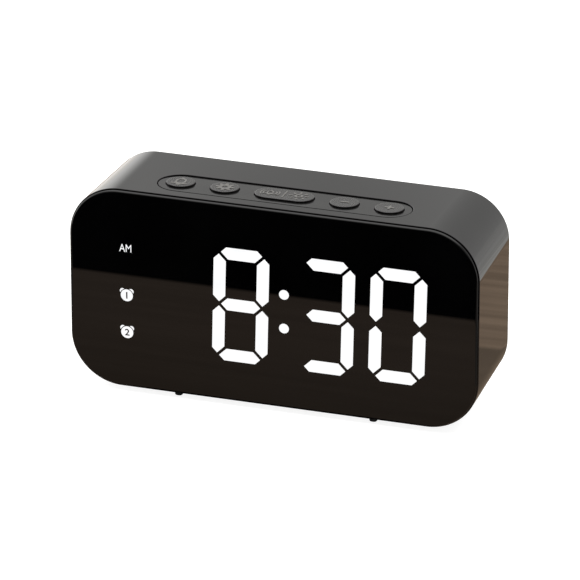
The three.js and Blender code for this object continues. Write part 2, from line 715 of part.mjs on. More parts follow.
function makeButtonDeck() {
  const deck = new THREE.Group();
  deck.applyMatrix4(deckPlacement);
  deck.add(makeButtonPanel(), makeKeyBoard());
  deck.add(makeKeyBoardScrew("left", -KEY_POST_X), makeKeyBoardScrew("right", KEY_POST_X));
  deck.add(...BUTTONS.map(makeButton), ...BUTTONS.map(makePlunger), ...BUTTONS.map(makeSwitch));
  return deck;
}

// Rear cover: drops inside the sleeve, with the sounder's slots, the socket's hole, the hatch's
// pocket and ledge, and a counterbore for each screw.
function coverOutline(from, to) {
  const reach = CASE_WALL + draftAt(CASE_DEPTH) + FIT_GAP;
  const width = CASE_WIDTH - 2 * reach;
  const height = CASE_HEIGHT - 2 * reach;
  return alongY(prism(width, height, CASE_CORNER - reach, from, to, 8));
}

function sounderSlots() {
  const slots = [];
  for (let row = 0; row < SLOT_ROWS; row++) {
    const z = (row - (SLOT_ROWS - 1) / 2) * SLOT_PITCH;
    const length = 2 * Math.sqrt((SOUNDER_DIAMETER / 2) ** 2 - z * z) - SLOT_HEIGHT;
    const through = [COVER_FRONT - OVERSHOOT, COVER_BACK + OVERSHOOT];
    const slot = prism(length, SLOT_HEIGHT, SLOT_HEIGHT / 2, ...through, 2);
    slots.push(alongY(slot).translate(SOUNDER_X, 0, SOUNDER_Z + z));
  }
  return slots;
}

function hatchPrism(inset, corner, from, to) {
  const size = HATCH_SIZE - 2 * inset;
  return alongY(prism(size, size, corner, from, to, 4)).translate(0, 0, HATCH_Z);
}

function makeRearCover() {
  const plate = coverOutline(COVER_FRONT, COVER_BACK);
  const through = [COVER_FRONT - OVERSHOOT, COVER_BACK + OVERSHOOT];
  const hatchFloor = COVER_BACK - HATCH_THICKNESS - FIT_GAP;
  const pocket = hatchPrism(-FIT_GAP, HATCH_CORNER, hatchFloor, COVER_BACK + OVERSHOOT);
  const access = hatchPrism(HATCH_LEDGE, HATCH_INNER_CORNER, ...through);
  const scoopFloor = COVER_BACK - FINGER_SCOOP_DEPTH;
  const scoop = prism(...FINGER_SCOOP, FINGER_SCOOP[1] / 2, scoopFloor, COVER_BACK + OVERSHOOT, 4);
  const socket = round(SOCKET_BARREL + 2 * FIT_GAP, ...through, 6);
  const seat = COVER_BACK - SCREW_SINK - SCREW_HEAD_HEIGHT;
  const screwHoles = [
    ...atPosts(() => round(SCREW_DIAMETER + 2 * FIT_GAP, ...through)),
    ...atPosts(() => round(SCREW_HEAD + 2 * FIT_GAP, seat, COVER_BACK + OVERSHOOT, 6)),
  ];
  const holes = [
    ...sounderSlots(),
    ...screwHoles,
    pocket,
    access,
    alongY(scoop).translate(0, 0, HATCH_Z + HATCH_SIZE / 2 + FIT_GAP),
    alongY(socket).translate(SOCKET_X, 0, SOCKET_Z),
  ];
  return piece("rear_cover", cut(plate, ...holes), satinBlack());
}

function makeBatteryDoor() {
  const plate = hatchPrism(0, HATCH_CORNER - FIT_GAP, COVER_BACK - HATCH_THICKNESS, COVER_BACK);
  const plugBack = COVER_BACK - HATCH_THICKNESS + JOIN_SINK;
  const plugFront = COVER_BACK - HATCH_THICKNESS - HATCH_PLUG;
  const plug = hatchPrism(HATCH_LEDGE + FIT_GAP, HATCH_INNER_CORNER, plugFront, plugBack);
  return piece("battery_door", join(plate, plug), satinBlack());
}

function makeCoverScrew({ name, x, z }) {
  const mesh = piece(
    `cover_screw_${name}`,
    alongY(screw(SCREW_DIAMETER, SCREW_HEAD, SCREW_HEAD_HEIGHT, SCREW_LENGTH)),
    zincSteel(),
  );
  mesh.position.set(x * POST_X, COVER_BACK - SCREW_SINK + FIT_GAP / 2, z * POST_Z);
  return mesh;
}

// Electronics: the main board stands behind the display and carries the socket, the sounder
// and the backup cell on its rear face, and the larger components on its front face.
function makeMainBoard() {
  const plate = prism(...MAIN_BOARD_SIZE, MAIN_BOARD_CORNER, MAIN_BOARD_FRONT, MAIN_BOARD_BACK, 2);
  return piece("main_board", alongY(plate).translate(0, 0, MAIN_BOARD_Z), boardGreen());
}

function makeController() {
  const y = MAIN_BOARD_FRONT - FIT_GAP - CONTROLLER_SIZE[1] / 2;
  return piece("clock_controller", box(CONTROLLER_SIZE, [CONTROLLER_X, y, CONTROLLER_Z]), mattBlack());
}

function makeCrystal() {
  const back = MAIN_BOARD_FRONT - FIT_GAP;
  const can = alongY(prism(...CRYSTAL_SIZE, CRYSTAL_SIZE[1] / 2, back - CRYSTAL_HEIGHT, back, 4));
  return piece("timing_crystal", can.translate(CRYSTAL_X, 0, CRYSTAL_Z), nickel());
}

function makeCapacitor() {
  const back = MAIN_BOARD_FRONT - FIT_GAP;
  const front = back - CAPACITOR_LENGTH;
  const crimp = back - CAPACITOR_CRIMP_AT;
  const levels = [
    [front, CAPACITOR_EDGE],
    [front + CAPACITOR_EDGE, 0],
    [crimp - CAPACITOR_CRIMP, 0],
    [crimp, CAPACITOR_CRIMP],
    [crimp + CAPACITOR_CRIMP, 0],
    [back, 0],
  ];
  const radius = CAPACITOR_DIAMETER / 2;
  const can = alongY(profiledPrism(CAPACITOR_DIAMETER, CAPACITOR_DIAMETER, radius, levels, 4));
  return piece("filter_capacitor", can.translate(CAPACITOR_X, 0, CAPACITOR_Z), mattBlack());
}

function makeSounder() {
  const front = MAIN_BOARD_BACK + FIT_GAP;
  const back = COVER_FRONT - FIT_GAP;
  const can = round(SOUNDER_DIAMETER, front, back, 8);
  const mouth = round(SOUNDER_MOUTH, back - SOUNDER_MOUTH_DEPTH, back + OVERSHOOT);
  const geometry = alongY(cut(can, mouth)).translate(SOUNDER_X, 0, SOUNDER_Z);
  return piece("sounder", geometry, mattBlack());
}

function makePowerSocket() {
  const front = MAIN_BOARD_BACK + FIT_GAP;
  const shoulder = COVER_FRONT - FIT_GAP;
  const mouth = COVER_BACK - SOCKET_SINK;
  const body = box([SOCKET_BODY, SOCKET_BODY, shoulder - front], [0, 0, (front + shoulder) / 2]);
  const barrel = round(SOCKET_BARREL, front + SOCKET_FLOOR / 2, mouth, 6);
  const bore = round(SOCKET_BORE, front + SOCKET_FLOOR, mouth + OVERSHOOT, 6);
  const geometry = alongY(cut(join(body, barrel), bore)).translate(SOCKET_X, 0, SOCKET_Z);
  return piece("power_socket", geometry, mattBlack());
}

function makeSocketPin() {
  const front = MAIN_BOARD_BACK + FIT_GAP + SOCKET_FLOOR + FIT_GAP;
  const back = COVER_BACK - SOCKET_PIN_SINK;
  const levels = [[front, 0], [back - SOCKET_PIN_EDGE, 0], [back, SOCKET_PIN_EDGE]];
  const pin = alongY(profiledPrism(SOCKET_PIN, SOCKET_PIN, SOCKET_PIN / 2, levels, 4));
  return piece("power_socket_pin", pin.translate(SOCKET_X, 0, SOCKET_Z), nickel());
}

const HOLDER_FRONT = MAIN_BOARD_BACK + FIT_GAP;
const CELL_FRONT = HOLDER_FRONT + HOLDER_FLOOR + FIT_GAP;
const CELL_BACK = CELL_FRONT + CELL_THICKNESS;
const HOLDER_BACK = CELL_BACK + HOLDER_RISE;

function makeCellHolder() {
  const bore = CELL_DIAMETER + 2 * FIT_GAP;
  const cup = round(bore + 2 * HOLDER_WALL, HOLDER_FRONT, HOLDER_BACK, 8);
  const well = round(bore, HOLDER_FRONT + HOLDER_FLOOR, HOLDER_BACK + OVERSHOOT, 8);
  const notchBottom = HOLDER_FRONT + HOLDER_FLOOR;
  const notch = box([HOLDER_NOTCH, bore, HOLDER_BACK], [0, -bore / 2, notchBottom + HOLDER_BACK / 2]);
  const geometry = alongY(cut(cup, well, notch)).translate(0, 0, HATCH_Z);
  return piece("cell_holder", geometry, mattBlack());
}

function makeCoinCell() {
  const levels = [
    [CELL_FRONT, CELL_LID_INSET + CELL_EDGE],
    [CELL_FRONT + CELL_EDGE, CELL_LID_INSET],
    [CELL_FRONT + CELL_LID_HEIGHT, CELL_EDGE],
    [CELL_FRONT + CELL_LID_HEIGHT + CELL_EDGE, 0],
    [CELL_BACK - CELL_EDGE, 0],
    [CELL_BACK, CELL_EDGE],
  ];
  const cell = profiledPrism(CELL_DIAMETER, CELL_DIAMETER, CELL_DIAMETER / 2, levels);
  return piece("coin_cell", alongY(cell).translate(0, 0, HATCH_Z), nickel());
}

// The cell's spring clip: up one side of the holder and over the cell's edge.
function makeCellClip() {
  const inner = CELL_DIAMETER / 2 + FIT_GAP + HOLDER_WALL + FIT_GAP;
  const outer = inner + CLIP_STRIP;
  const back = HOLDER_BACK + FIT_GAP + CLIP_STRIP;
  const uprightSize = [CLIP_STRIP, back - HOLDER_FRONT, CLIP_WIDTH];
  const upright = box(uprightSize, [inner + CLIP_STRIP / 2, (HOLDER_FRONT + back) / 2, HATCH_Z]);
  const reach = outer - CELL_DIAMETER / 3;
  const tongue = box([reach, CLIP_STRIP, CLIP_WIDTH], [outer - reach / 2, back - CLIP_STRIP / 2, HATCH_Z]);
  return piece("cell_clip", join(upright, tongue), nickel());
}

// A flat ribbon of the given width along X that follows a smooth side-on route of [y, z] points.
function ribbon(name, route, x, width) {
  const centre = new THREE.SplineCurve(route.map(([y, z]) => new THREE.Vector2(y, z)));
  const sides = [[], []];
  for (let i = 0; i <= RIBBON_STEPS; i++) {
    const point = centre.getPoint(i / RIBBON_STEPS);
    const along = centre.getTangent(i / RIBBON_STEPS);
    const across = new THREE.Vector2(-along.y, along.x).multiplyScalar(RIBBON_THICKNESS / 2);
    sides[0].push(point.clone().sub(across));
    sides[1].unshift(point.clone().add(across));
  }
  const profile = new THREE.Shape([...sides[0], ...sides[1]]);
  const strip = new THREE.ExtrudeGeometry(profile, { depth: width, bevelEnabled: false });
  const upright = strip.rotateY(Math.PI / 2).rotateX(Math.PI / 2);
  return piece(name, upright.translate(x - width / 2, 0, 0), ribbonGrey());
}

function makeRibbons() {
  const displayBack = DISPLAY_BOARD_BACK + FIT_GAP;
  const boardFront = MAIN_BOARD_FRONT - FIT_GAP;
  const middle = (displayBack + boardFront) / 2;
  const displayLow = DISPLAY_RIBBON_TOP - DISPLAY_RIBBON_SAG;
  const displayRoute = [
    [displayBack, DISPLAY_RIBBON_TOP],
    [middle - DISPLAY_RIBBON_SAG, displayLow],
    [middle + DISPLAY_RIBBON_SAG, displayLow],
    [boardFront, DISPLAY_RIBBON_TOP - 1],
  ];
  const keyRoute = [
    [DECK_Y + KEY_RIBBON_START[0], KEY_RIBBON_START[1]],
    [DECK_Y + KEY_RIBBON_BEND[0], KEY_RIBBON_BEND[1]],
    [boardFront, KEY_RIBBON_END_Z],
  ];
  return [
    ribbon("display_ribbon", displayRoute, DISPLAY_RIBBON_X, DISPLAY_RIBBON_WIDTH),
    ribbon("key_ribbon", keyRoute, KEY_RIBBON_X, KEY_RIBBON_WIDTH),
  ];
}

function makeClock() {
  const clock = new THREE.Group();
  const housing = new THREE.Group(); // here Y is zero at the case's front edge and Z at mid-height
  housing.position.set(0, (LENS_PROUD - CASE_DEPTH) / 2, CASE_HEIGHT / 2 + FOOT_HEIGHT);
  housing.add(makeShell(), makeLens(), makeGasket(), makeFrame(), ...FEET.map(makeFoot));
  housing.add(...DIGITS.map(makeDigitDiffuser), makeColonDiffuser(), makeIndicatorDiffuser());
  housing.add(makeReflector(), makeDisplayBoard(), ...CORNERS.map(makeModuleScrew));
  housing.add(makeButtonDeck());
  housing.add(makeRearCover(), makeBatteryDoor(), ...CORNERS.map(makeCoverScrew));
  housing.add(makeMainBoard(), makeController(), makeCrystal(), makeCapacitor(), makeSounder());
  housing.add(makePowerSocket(), makeSocketPin(), makeCellHolder(), makeCoinCell(), makeCellClip());
  housing.add(...makeRibbons());
  clock.add(housing);
  return clock;
}

export default makeClock();
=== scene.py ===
import json
import math

import bmesh
import bpy
from mathutils import Matrix, Vector

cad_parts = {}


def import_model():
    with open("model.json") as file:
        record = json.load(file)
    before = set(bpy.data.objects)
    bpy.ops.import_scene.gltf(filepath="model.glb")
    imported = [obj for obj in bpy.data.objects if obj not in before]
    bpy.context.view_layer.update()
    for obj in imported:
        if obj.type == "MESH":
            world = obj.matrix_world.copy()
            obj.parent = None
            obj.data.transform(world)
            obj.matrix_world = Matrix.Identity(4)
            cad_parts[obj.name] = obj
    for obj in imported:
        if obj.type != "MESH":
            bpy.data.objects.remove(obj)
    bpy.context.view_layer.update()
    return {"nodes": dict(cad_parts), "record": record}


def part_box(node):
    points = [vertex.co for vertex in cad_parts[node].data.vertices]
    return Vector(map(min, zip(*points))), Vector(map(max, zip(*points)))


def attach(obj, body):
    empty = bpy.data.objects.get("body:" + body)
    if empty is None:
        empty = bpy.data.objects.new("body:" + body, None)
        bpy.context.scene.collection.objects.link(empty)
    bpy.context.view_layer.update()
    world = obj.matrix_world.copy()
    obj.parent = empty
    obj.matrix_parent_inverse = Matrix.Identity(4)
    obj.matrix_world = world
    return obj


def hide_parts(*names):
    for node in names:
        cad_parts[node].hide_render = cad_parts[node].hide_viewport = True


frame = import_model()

# A bedside alarm clock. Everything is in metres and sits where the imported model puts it.
mm = 0.001
touch = 0.01 * mm  # closer than this counts as lying on a face
weld = 0.002 * mm  # closer points are merged
overrun = 1 * mm  # how far a cutter starts outside the piece
print("frame loaded")


def clearSelection():
    if bpy.context.mode != "OBJECT":
        bpy.ops.object.mode_set(mode="OBJECT")
    bpy.ops.object.select_all(action="DESELECT")


def only(piece):
    clearSelection()
    piece.select_set(True)
    bpy.context.view_layer.objects.active = piece


def newest(name):
    piece = bpy.context.active_object
    piece.name = name
    piece.data.name = name
    return piece


def settle(piece):  # a piece's place goes into its mesh, and its object stays at the origin
    only(piece)
    bpy.ops.object.transform_apply(location=True, rotation=True, scale=True)
    return piece


def editPart(piece, kind, wanted):
    # opens edit mode with only the faces or edges that pass the test selected
    only(piece)
    bpy.ops.object.mode_set(mode="EDIT")
    bpy.ops.mesh.select_mode(type=kind)
    bpy.ops.mesh.select_all(action="DESELECT")
    shape = bmesh.from_edit_mesh(piece.data)
    if kind == "FACE":
        chosen = [f for f in shape.faces if wanted(f.calc_center_median(), f.normal)]
    elif kind == "EDGE":
        chosen = [e for e in shape.edges if all(wanted(v.co) for v in e.verts)]
    else:
        chosen = [v for v in shape.verts if wanted(v.co)]
    for part in chosen:
        part.select_set(True)
    bmesh.update_edit_mesh(piece.data)


def doneEditing():
    bpy.ops.object.mode_set(mode="OBJECT")


def modify(piece, kind, **settings):
    only(piece)
    bpy.ops.object.modifier_add(type=kind)
    modifier = piece.modifiers[-1]
    for key, value in settings.items():
        setattr(modifier, key, value)
    bpy.ops.object.modifier_apply(modifier=modifier.name)
    return piece


def cutAway(piece, *tools):
    for tool in tools:
        modify(piece, "BOOLEAN", operation="DIFFERENCE", solver="EXACT", object=tool)
        bpy.data.objects.remove(tool)
    return piece


def unite(piece, *others):
    for other in others:
        modify(piece, "BOOLEAN", operation="UNION", solver="EXACT", object=other)
        bpy.data.objects.remove(other)
    return piece


def joinAll(name, pieces):
    clearSelection()
    for piece in pieces:
        piece.select_set(True)
    bpy.context.view_layer.objects.active = pieces[0]
    if len(pieces) > 1:
        bpy.ops.object.join()
    return newest(name)


def copyOf(piece, name, shift=(0, 0, 0)):
    only(piece)
    bpy.ops.object.duplicate(linked=False)
    copied = newest(name)
    copied.location = shift
    return settle(copied)


def polish(piece, angle=35):
    # smooth faces, sharp corners and normals that keep the broad flats flat
    only(piece)
    bpy.ops.object.shade_smooth_by_angle(angle=math.radians(angle))
    return modify(piece, "WEIGHTED_NORMAL", keep_sharp=True)


def softenEdges(piece, width, segments=3, angle=40):
    return modify(
        piece, "BEVEL", width=width, segments=segments, limit_method="ANGLE",
        angle_limit=math.radians(angle), use_clamp_overlap=True, harden_normals=False,
    )


facings = {"front": (math.pi / 2, 0, 0), "back": (-math.pi / 2, 0, 0), "up": (0, 0, 0)}


def roundedFace(name, width, height, radius, steps, place, facing):
    clearSelection()
    if max(width, height) < 2 * radius + touch:  # a full circle
        bpy.ops.mesh.primitive_circle_add(
            vertices=4 * steps, radius=radius, fill_type="NGON", location=place, rotation=facings[facing],
        )
        return settle(newest(name))
    bpy.ops.mesh.primitive_plane_add(size=1, location=place, rotation=facings[facing])
    piece = newest(name)
    piece.scale = (width, height, 1)
    settle(piece)
    editPart(piece, "VERT", lambda place: True)
    bpy.ops.mesh.bevel(affect="VERTICES", offset=radius, segments=steps, profile=0.5)
    bpy.ops.mesh.select_all(action="SELECT")
    bpy.ops.mesh.remove_doubles(threshold=weld)
    doneEditing()
    return piece


def roundedBlock(name, width, height, radius, steps, place, facing, depth):
    # a slab whose face is at the given place, with its depth behind that face
    piece = roundedFace(name, width, height, radius, steps, place, facing)
    return modify(piece, "SOLIDIFY", thickness=depth, offset=-1, use_even_offset=True)


def finishPiece(piece, body, slot, *nodes):
    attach(piece, body)
    piece.data.materials.clear()
    piece.data.materials.append(finishes[slot])
    if nodes:
        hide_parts(*nodes)
    return piece


class Recipe:
    # a Principled material with a few nodes feeding it, all on Object coordinates
    def __init__(self, name, **values):
        self.material = bpy.data.materials.new(name)
        self.material.use_nodes = True
        self.tree = self.material.node_tree
        self.shader = self.tree.nodes["Principled BSDF"]
        self.place = self.add("ShaderNodeTexCoord").outputs["Object"]
        for socket, value in values.items():
            self.shader.inputs[socket].default_value = value

    def add(self, kind, inputs=None, **settings):
        node = self.tree.nodes.new(kind)
        for key, value in settings.items():
            setattr(node, key, value)
        for socket, value in (inputs or {}).items():
            self.feed(node.inputs[socket], value)
        return node

    def feed(self, socket, value):
        if isinstance(value, bpy.types.NodeSocket):
            self.tree.links.new(value, socket)
        else:
            socket.default_value = value

    def stretched(self, scale):
        return self.add("ShaderNodeMapping", {"Vector": self.place, "Scale": scale}).outputs[0]

    def noise(self, scale, detail=2.0, where=None):
        inputs = {"Vector": where or self.place, "Scale": scale, "Detail": detail}
        return self.add("ShaderNodeTexNoise", inputs).outputs[0]

    def between(self, factor, low, high, start=0.3, end=0.7):
        inputs = {"Value": factor, "From Min": start, "From Max": end, "To Min": low, "To Max": high}
        return self.add("ShaderNodeMapRange", inputs).outputs[0]

    def blend(self, factor, tones, spread=0.2):
        # from one tone to the other around the middle of the pattern
        node = self.add("ShaderNodeValToRGB", {0: factor})
        for element, side, tone in zip(node.color_ramp.elements, (-1, 1), tones):
            element.position = 0.5 + side * spread
            element.color = (*tone, 1)
        return node.outputs[0]

    def math(self, operation, a, b=0.0):
        return self.add("ShaderNodeMath", {0: a, 1: b}, operation=operation).outputs[0]

    def color(self, value):
        self.feed(self.shader.inputs["Base Color"], value)

    def roughness(self, value):
        self.feed(self.shader.inputs["Roughness"], value)

    def bump(self, height, strength, distance):
        node = self.add("ShaderNodeBump", {"Height": height, "Strength": strength, "Distance": distance})
        self.feed(self.shader.inputs["Normal"], node.outputs[0])


def glossFinish(name, look):
    recipe = Recipe(name, **{"IOR": look["ior"]})
    recipe.color(recipe.blend(recipe.noise(look["patch"]), look["tones"]))
    recipe.roughness(recipe.between(recipe.noise(look["smear"], 4), *look["roughness"]))
    recipe.bump(recipe.noise(look["peel"], 1), look["bump"], look["bumpDepth"])
    return recipe.material


def grainFinish(name, look):
    # moulded plastic or rubber with a fine even grain
    recipe = Recipe(name, **{"IOR": look.get("ior", 1.46)})
    grain = recipe.noise(look["grain"], 3)
    recipe.color(recipe.blend(recipe.noise(look["patch"], 3), look["tones"]))
    recipe.roughness(recipe.between(grain, *look["roughness"]))
    recipe.bump(grain, look["bump"], look["bumpDepth"])
    return recipe.material


def metalFinish(name, look):
    recipe = Recipe(name, **{"Metallic": 1.0})
    lines = recipe.noise(look["lines"], 4, recipe.stretched(look["stretch"]))
    recipe.color(recipe.blend(lines, look["tones"], 0.15))
    recipe.roughness(recipe.between(lines, *look["roughness"]))
    recipe.bump(lines, look["bump"], look["bumpDepth"])
    return recipe.material


def boardFinish(name, look):
    # solder mask over copper: straight tracks where the cells of a square pattern meet
    recipe = Recipe(name, **{"IOR": look["ior"]})
    pattern = {"Vector": recipe.place, "Scale": look["tracks"]}
    cells = recipe.add("ShaderNodeTexVoronoi", pattern, distance="CHEBYCHEV", feature="F1")
    track = recipe.between(cells.outputs[0], 0, 1, *look["trackEdge"])
    recipe.color(recipe.blend(track, look["tones"], 0.5))
    recipe.roughness(recipe.between(recipe.noise(look["grain"]), *look["roughness"]))
    recipe.bump(track, look["bump"], look["bumpDepth"])
    return recipe.material


def ribbonFinish(name, look):
    recipe = Recipe(name)
    pattern = {"Vector": recipe.place, "Scale": look["wires"]}
    stripes = recipe.add("ShaderNodeTexWave", pattern, wave_type="BANDS", bands_direction="X").outputs[1]
    recipe.color(recipe.blend(stripes, look["tones"], 0.3))
    recipe.roughness(recipe.between(recipe.noise(look["grain"]), *look["roughness"]))
    recipe.bump(stripes, look["bump"], look["bumpDepth"])
    return recipe.material


def litFinish(name, look):
    # light from behind a white diffuser, a little brighter in random patches
    recipe = Recipe(name, **{"Emission Strength": look["strength"]})
    cloud = recipe.noise(look["patch"], 1)
    recipe.color(recipe.blend(cloud, look["film"]))
    recipe.roughness(recipe.between(cloud, *look["roughness"]))
    recipe.feed(recipe.shader.inputs["Emission Color"], recipe.blend(cloud, look["tones"]))
    return recipe.material


looks = {
    "case_gloss": (glossFinish, dict(
        tones=((0.0012, 0.0012, 0.0012), (0.0028, 0.0027, 0.0026)), ior=1.5, patch=40, smear=35,
        roughness=(0.03, 0.06), peel=260, bump=0.04, bumpDepth=0.02 * mm)),
    "lens_smoked": (glossFinish, dict(
        tones=((0.0003, 0.0003, 0.00035), (0.0008, 0.0008, 0.0009)), ior=1.49, patch=25, smear=20,
        roughness=(0.008, 0.02), peel=120, bump=0.01, bumpDepth=0.005 * mm)),
    "deck_satin": (grainFinish, dict(
        tones=((0.004, 0.004, 0.004), (0.008, 0.008, 0.0075)), ior=1.38, patch=90,
        roughness=(0.10, 0.16), grain=4200, bump=0.05, bumpDepth=0.01 * mm)),
    "button_satin": (grainFinish, dict(
        tones=((0.004, 0.0037, 0.0035), (0.012, 0.0112, 0.0106)), ior=1.66, patch=1100,
        roughness=(0.20, 0.32), grain=2600, bump=0.4, bumpDepth=0.02 * mm)),
    "button_symbol": (grainFinish, dict(
        tones=((0.060, 0.057, 0.053), (0.095, 0.092, 0.086)), ior=1.5, patch=900,
        roughness=(0.24, 0.36), grain=2600, bump=0.2, bumpDepth=0.02 * mm)),
    "cover_textured": (grainFinish, dict(
        tones=((0.012, 0.012, 0.012), (0.016, 0.016, 0.0155)), patch=900,
        roughness=(0.42, 0.60), grain=3000, bump=0.55, bumpDepth=0.05 * mm)),
    "inner_plastic": (grainFinish, dict(
        tones=((0.010, 0.010, 0.011), (0.022, 0.022, 0.023)), patch=80,
        roughness=(0.5, 0.65), grain=2200, bump=0.3, bumpDepth=0.04 * mm)),
    "gasket_foam": (grainFinish, dict(
        tones=((0.006, 0.006, 0.006), (0.014, 0.014, 0.014)), patch=1500,
        roughness=(0.9, 1.0), grain=3500, bump=0.8, bumpDepth=0.12 * mm)),
    "foot_rubber": (grainFinish, dict(
        tones=((0.008, 0.008, 0.008), (0.018, 0.017, 0.016)), patch=300,
        roughness=(0.7, 0.88), grain=2600, bump=0.5, bumpDepth=0.06 * mm)),
    "component_black": (grainFinish, dict(
        tones=((0.010, 0.010, 0.011), (0.024, 0.024, 0.026)), patch=500,
        roughness=(0.35, 0.5), grain=3800, bump=0.3, bumpDepth=0.03 * mm)),
    "reflector_white": (grainFinish, dict(
        tones=((0.74, 0.75, 0.73), (0.84, 0.85, 0.83)), patch=70,
        roughness=(0.4, 0.55), grain=2000, bump=0.2, bumpDepth=0.03 * mm)),
    "screw_steel": (metalFinish, dict(
        tones=((0.10, 0.10, 0.105), (0.24, 0.24, 0.245)), lines=500, stretch=(1, 1, 1),
        roughness=(0.25, 0.42), bump=0.15, bumpDepth=0.01 * mm)),
    "nickel_plate": (metalFinish, dict(
        tones=((0.50, 0.49, 0.46), (0.68, 0.67, 0.64)), lines=300, stretch=(1, 1, 12),
        roughness=(0.18, 0.34), bump=0.1, bumpDepth=0.01 * mm)),
    "circuit_board": (boardFinish, dict(
        tones=((0.012, 0.075, 0.030), (0.045, 0.19, 0.075)), ior=1.5, tracks=420, trackEdge=(0.42, 0.46),
        roughness=(0.30, 0.42), grain=1500, bump=0.4, bumpDepth=0.03 * mm)),
    "ribbon_cable": (ribbonFinish, dict(
        tones=((0.22, 0.23, 0.24), (0.50, 0.51, 0.53)), wires=250,
        roughness=(0.45, 0.60), grain=900, bump=0.5, bumpDepth=0.1 * mm)),
    "lit_diffuser": (litFinish, dict(
        tones=((0.95, 0.96, 0.97), (1.0, 1.0, 1.0)), film=((0.02, 0.02, 0.021), (0.04, 0.04, 0.042)),
        roughness=(0.30, 0.40), patch=90, strength=1.0)),
}
finishes = {slot: make(slot, look) for slot, (make, look) in looks.items()}


def dressFrame():
    # the CAD pieces that keep their shape get their slot's finish
    for part in frame["record"]["subparts"]:
        node = frame["nodes"][part["node"]]
        node.data.materials.clear()
        node.data.materials.append(finishes[part["material_slot"]])


dressFrame()
print("finishes made")

case = dict(
    corner=20 * mm, cornerSteps=32, draft=1.5 * mm, wall=2.2 * mm, rearRound=0.8 * mm, rearSteps=5,
    edgeRound=0.22 * mm,
)
deck = dict(
    fromFront=13.8 * mm, recessLength=99.2 * mm, recessWidth=18.3 * mm, recessAbove=2 * mm, recessDeep=8 * mm,
    gap=0.3 * mm, steps=20, panelGap=0.42 * mm, panelFront=0.02 * mm, panelRear=0.5 * mm,
    panelThick=1.6 * mm, holeDeep=5 * mm, edgeRound=0.08 * mm,
)
footShape = dict(corner=1.2 * mm, edge=0.5 * mm, edgeSteps=4, steps=8)
footNames = ("front_left", "front_right", "rear_left", "rear_right")
shellLow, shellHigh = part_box("shell")
middle = (shellLow + shellHigh) / 2
lean = math.atan(case["draft"] / (shellHigh.y - shellLow.y))
deckHeight = shellHigh.z - deck["fromFront"] * math.tan(lean)
deckPlace = Vector((0, shellLow.y + deck["fromFront"], deckHeight))
deckMatrix = Matrix.Translation(deckPlace) @ Matrix.Rotation(-lean, 4, "X")


def onDeck(piece):  # from the deck's own frame, where zero is the top face, to its leaning place
    piece.matrix_world = deckMatrix @ piece.matrix_world
    return settle(piece)


def makeShell():
    width, depth, height = shellHigh - shellLow
    front = (0, shellLow.y, middle.z)
    shell = roundedFace("caseShell", width, height, case["corner"], case["cornerSteps"], front, "front")
    editPart(shell, "FACE", lambda place, normal: True)
    bpy.ops.mesh.inset(thickness=case["draft"], use_even_offset=True)
    bpy.ops.transform.translate(value=(0, depth, 0))
    bpy.ops.mesh.delete(type="ONLY_FACE")
    bpy.ops.mesh.select_all(action="SELECT")
    bpy.ops.mesh.flip_normals()
    doneEditing()
    modify(shell, "SOLIDIFY", thickness=case["wall"], offset=-1, use_even_offset=True)
    editPart(shell, "EDGE", lambda place: place.y > shellHigh.y - touch)
    bpy.ops.mesh.bevel(offset=case["rearRound"], segments=case["rearSteps"], profile=0.5, affect="EDGES")
    doneEditing()
    recess = roundedBlock(
        "recessTool", deck["recessLength"], deck["recessWidth"], deck["recessWidth"] / 2, deck["steps"],
        (0, 0, deck["recessAbove"]), "up", deck["recessDeep"],
    )
    cutAway(shell, onDeck(recess))
    gap = deck["gap"]
    for corner in footNames:
        low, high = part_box("foot_" + corner)
        pocket = roundedBlock(
            "pocketTool", high.x - low.x + 2 * gap, high.y - low.y + 2 * gap, footShape["corner"] + gap,
            footShape["steps"], ((low.x + high.x) / 2, (low.y + high.y) / 2, high.z + gap), "up", high.z - low.z,
        )
        cutAway(shell, pocket)
    softenEdges(shell, case["edgeRound"])
    polish(shell)
    return finishPiece(shell, "root", "case_gloss", "shell")


lensShape = dict(inset=0.5 * mm, rim=0.85 * mm, rimSteps=8, flange=0.95 * mm, stepInset=2.05 * mm)


def makeLens():
    low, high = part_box("front_lens")
    radius = case["corner"] - lensShape["inset"]
    front = (0, low.y, (low.z + high.z) / 2)
    lens = roundedBlock(
        "smokedLens", high.x - low.x, high.z - low.z, radius, case["cornerSteps"], front, "front",
        lensShape["flange"],
    )
    editPart(lens, "FACE", lambda place, normal: normal.y > 0.9)
    bpy.ops.mesh.inset(thickness=lensShape["stepInset"], use_even_offset=True)
    back = high.y - low.y - lensShape["flange"]
    bpy.ops.mesh.extrude_region_move(TRANSFORM_OT_translate={"value": (0, back, 0)})
    doneEditing()
    editPart(lens, "EDGE", lambda place: place.y < low.y + touch)
    bpy.ops.mesh.bevel(offset=lensShape["rim"], segments=lensShape["rimSteps"], profile=0.5, affect="EDGES")
    doneEditing()
    polish(lens)
    return finishPiece(lens, "root", "lens_smoked", "front_lens")


def makeFeet():
    for corner in footNames:
        low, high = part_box("foot_" + corner)
        foot = roundedBlock(
            "rubberFoot_" + corner, high.x - low.x, high.y - low.y, footShape["corner"], footShape["steps"],
            ((low.x + high.x) / 2, (low.y + high.y) / 2, high.z), "up", high.z - low.z,
        )
        editPart(foot, "EDGE", lambda place: place.z < low.z + touch)
        bpy.ops.mesh.bevel(
            offset=footShape["edge"], segments=footShape["edgeSteps"], profile=0.5, affect="EDGES"
        )
        doneEditing()
        polish(foot)
        finishPiece(foot, "root", "foot_rubber", "foot_" + corner)


makeShell()
makeLens()
makeFeet()
print("case, lens and feet made")

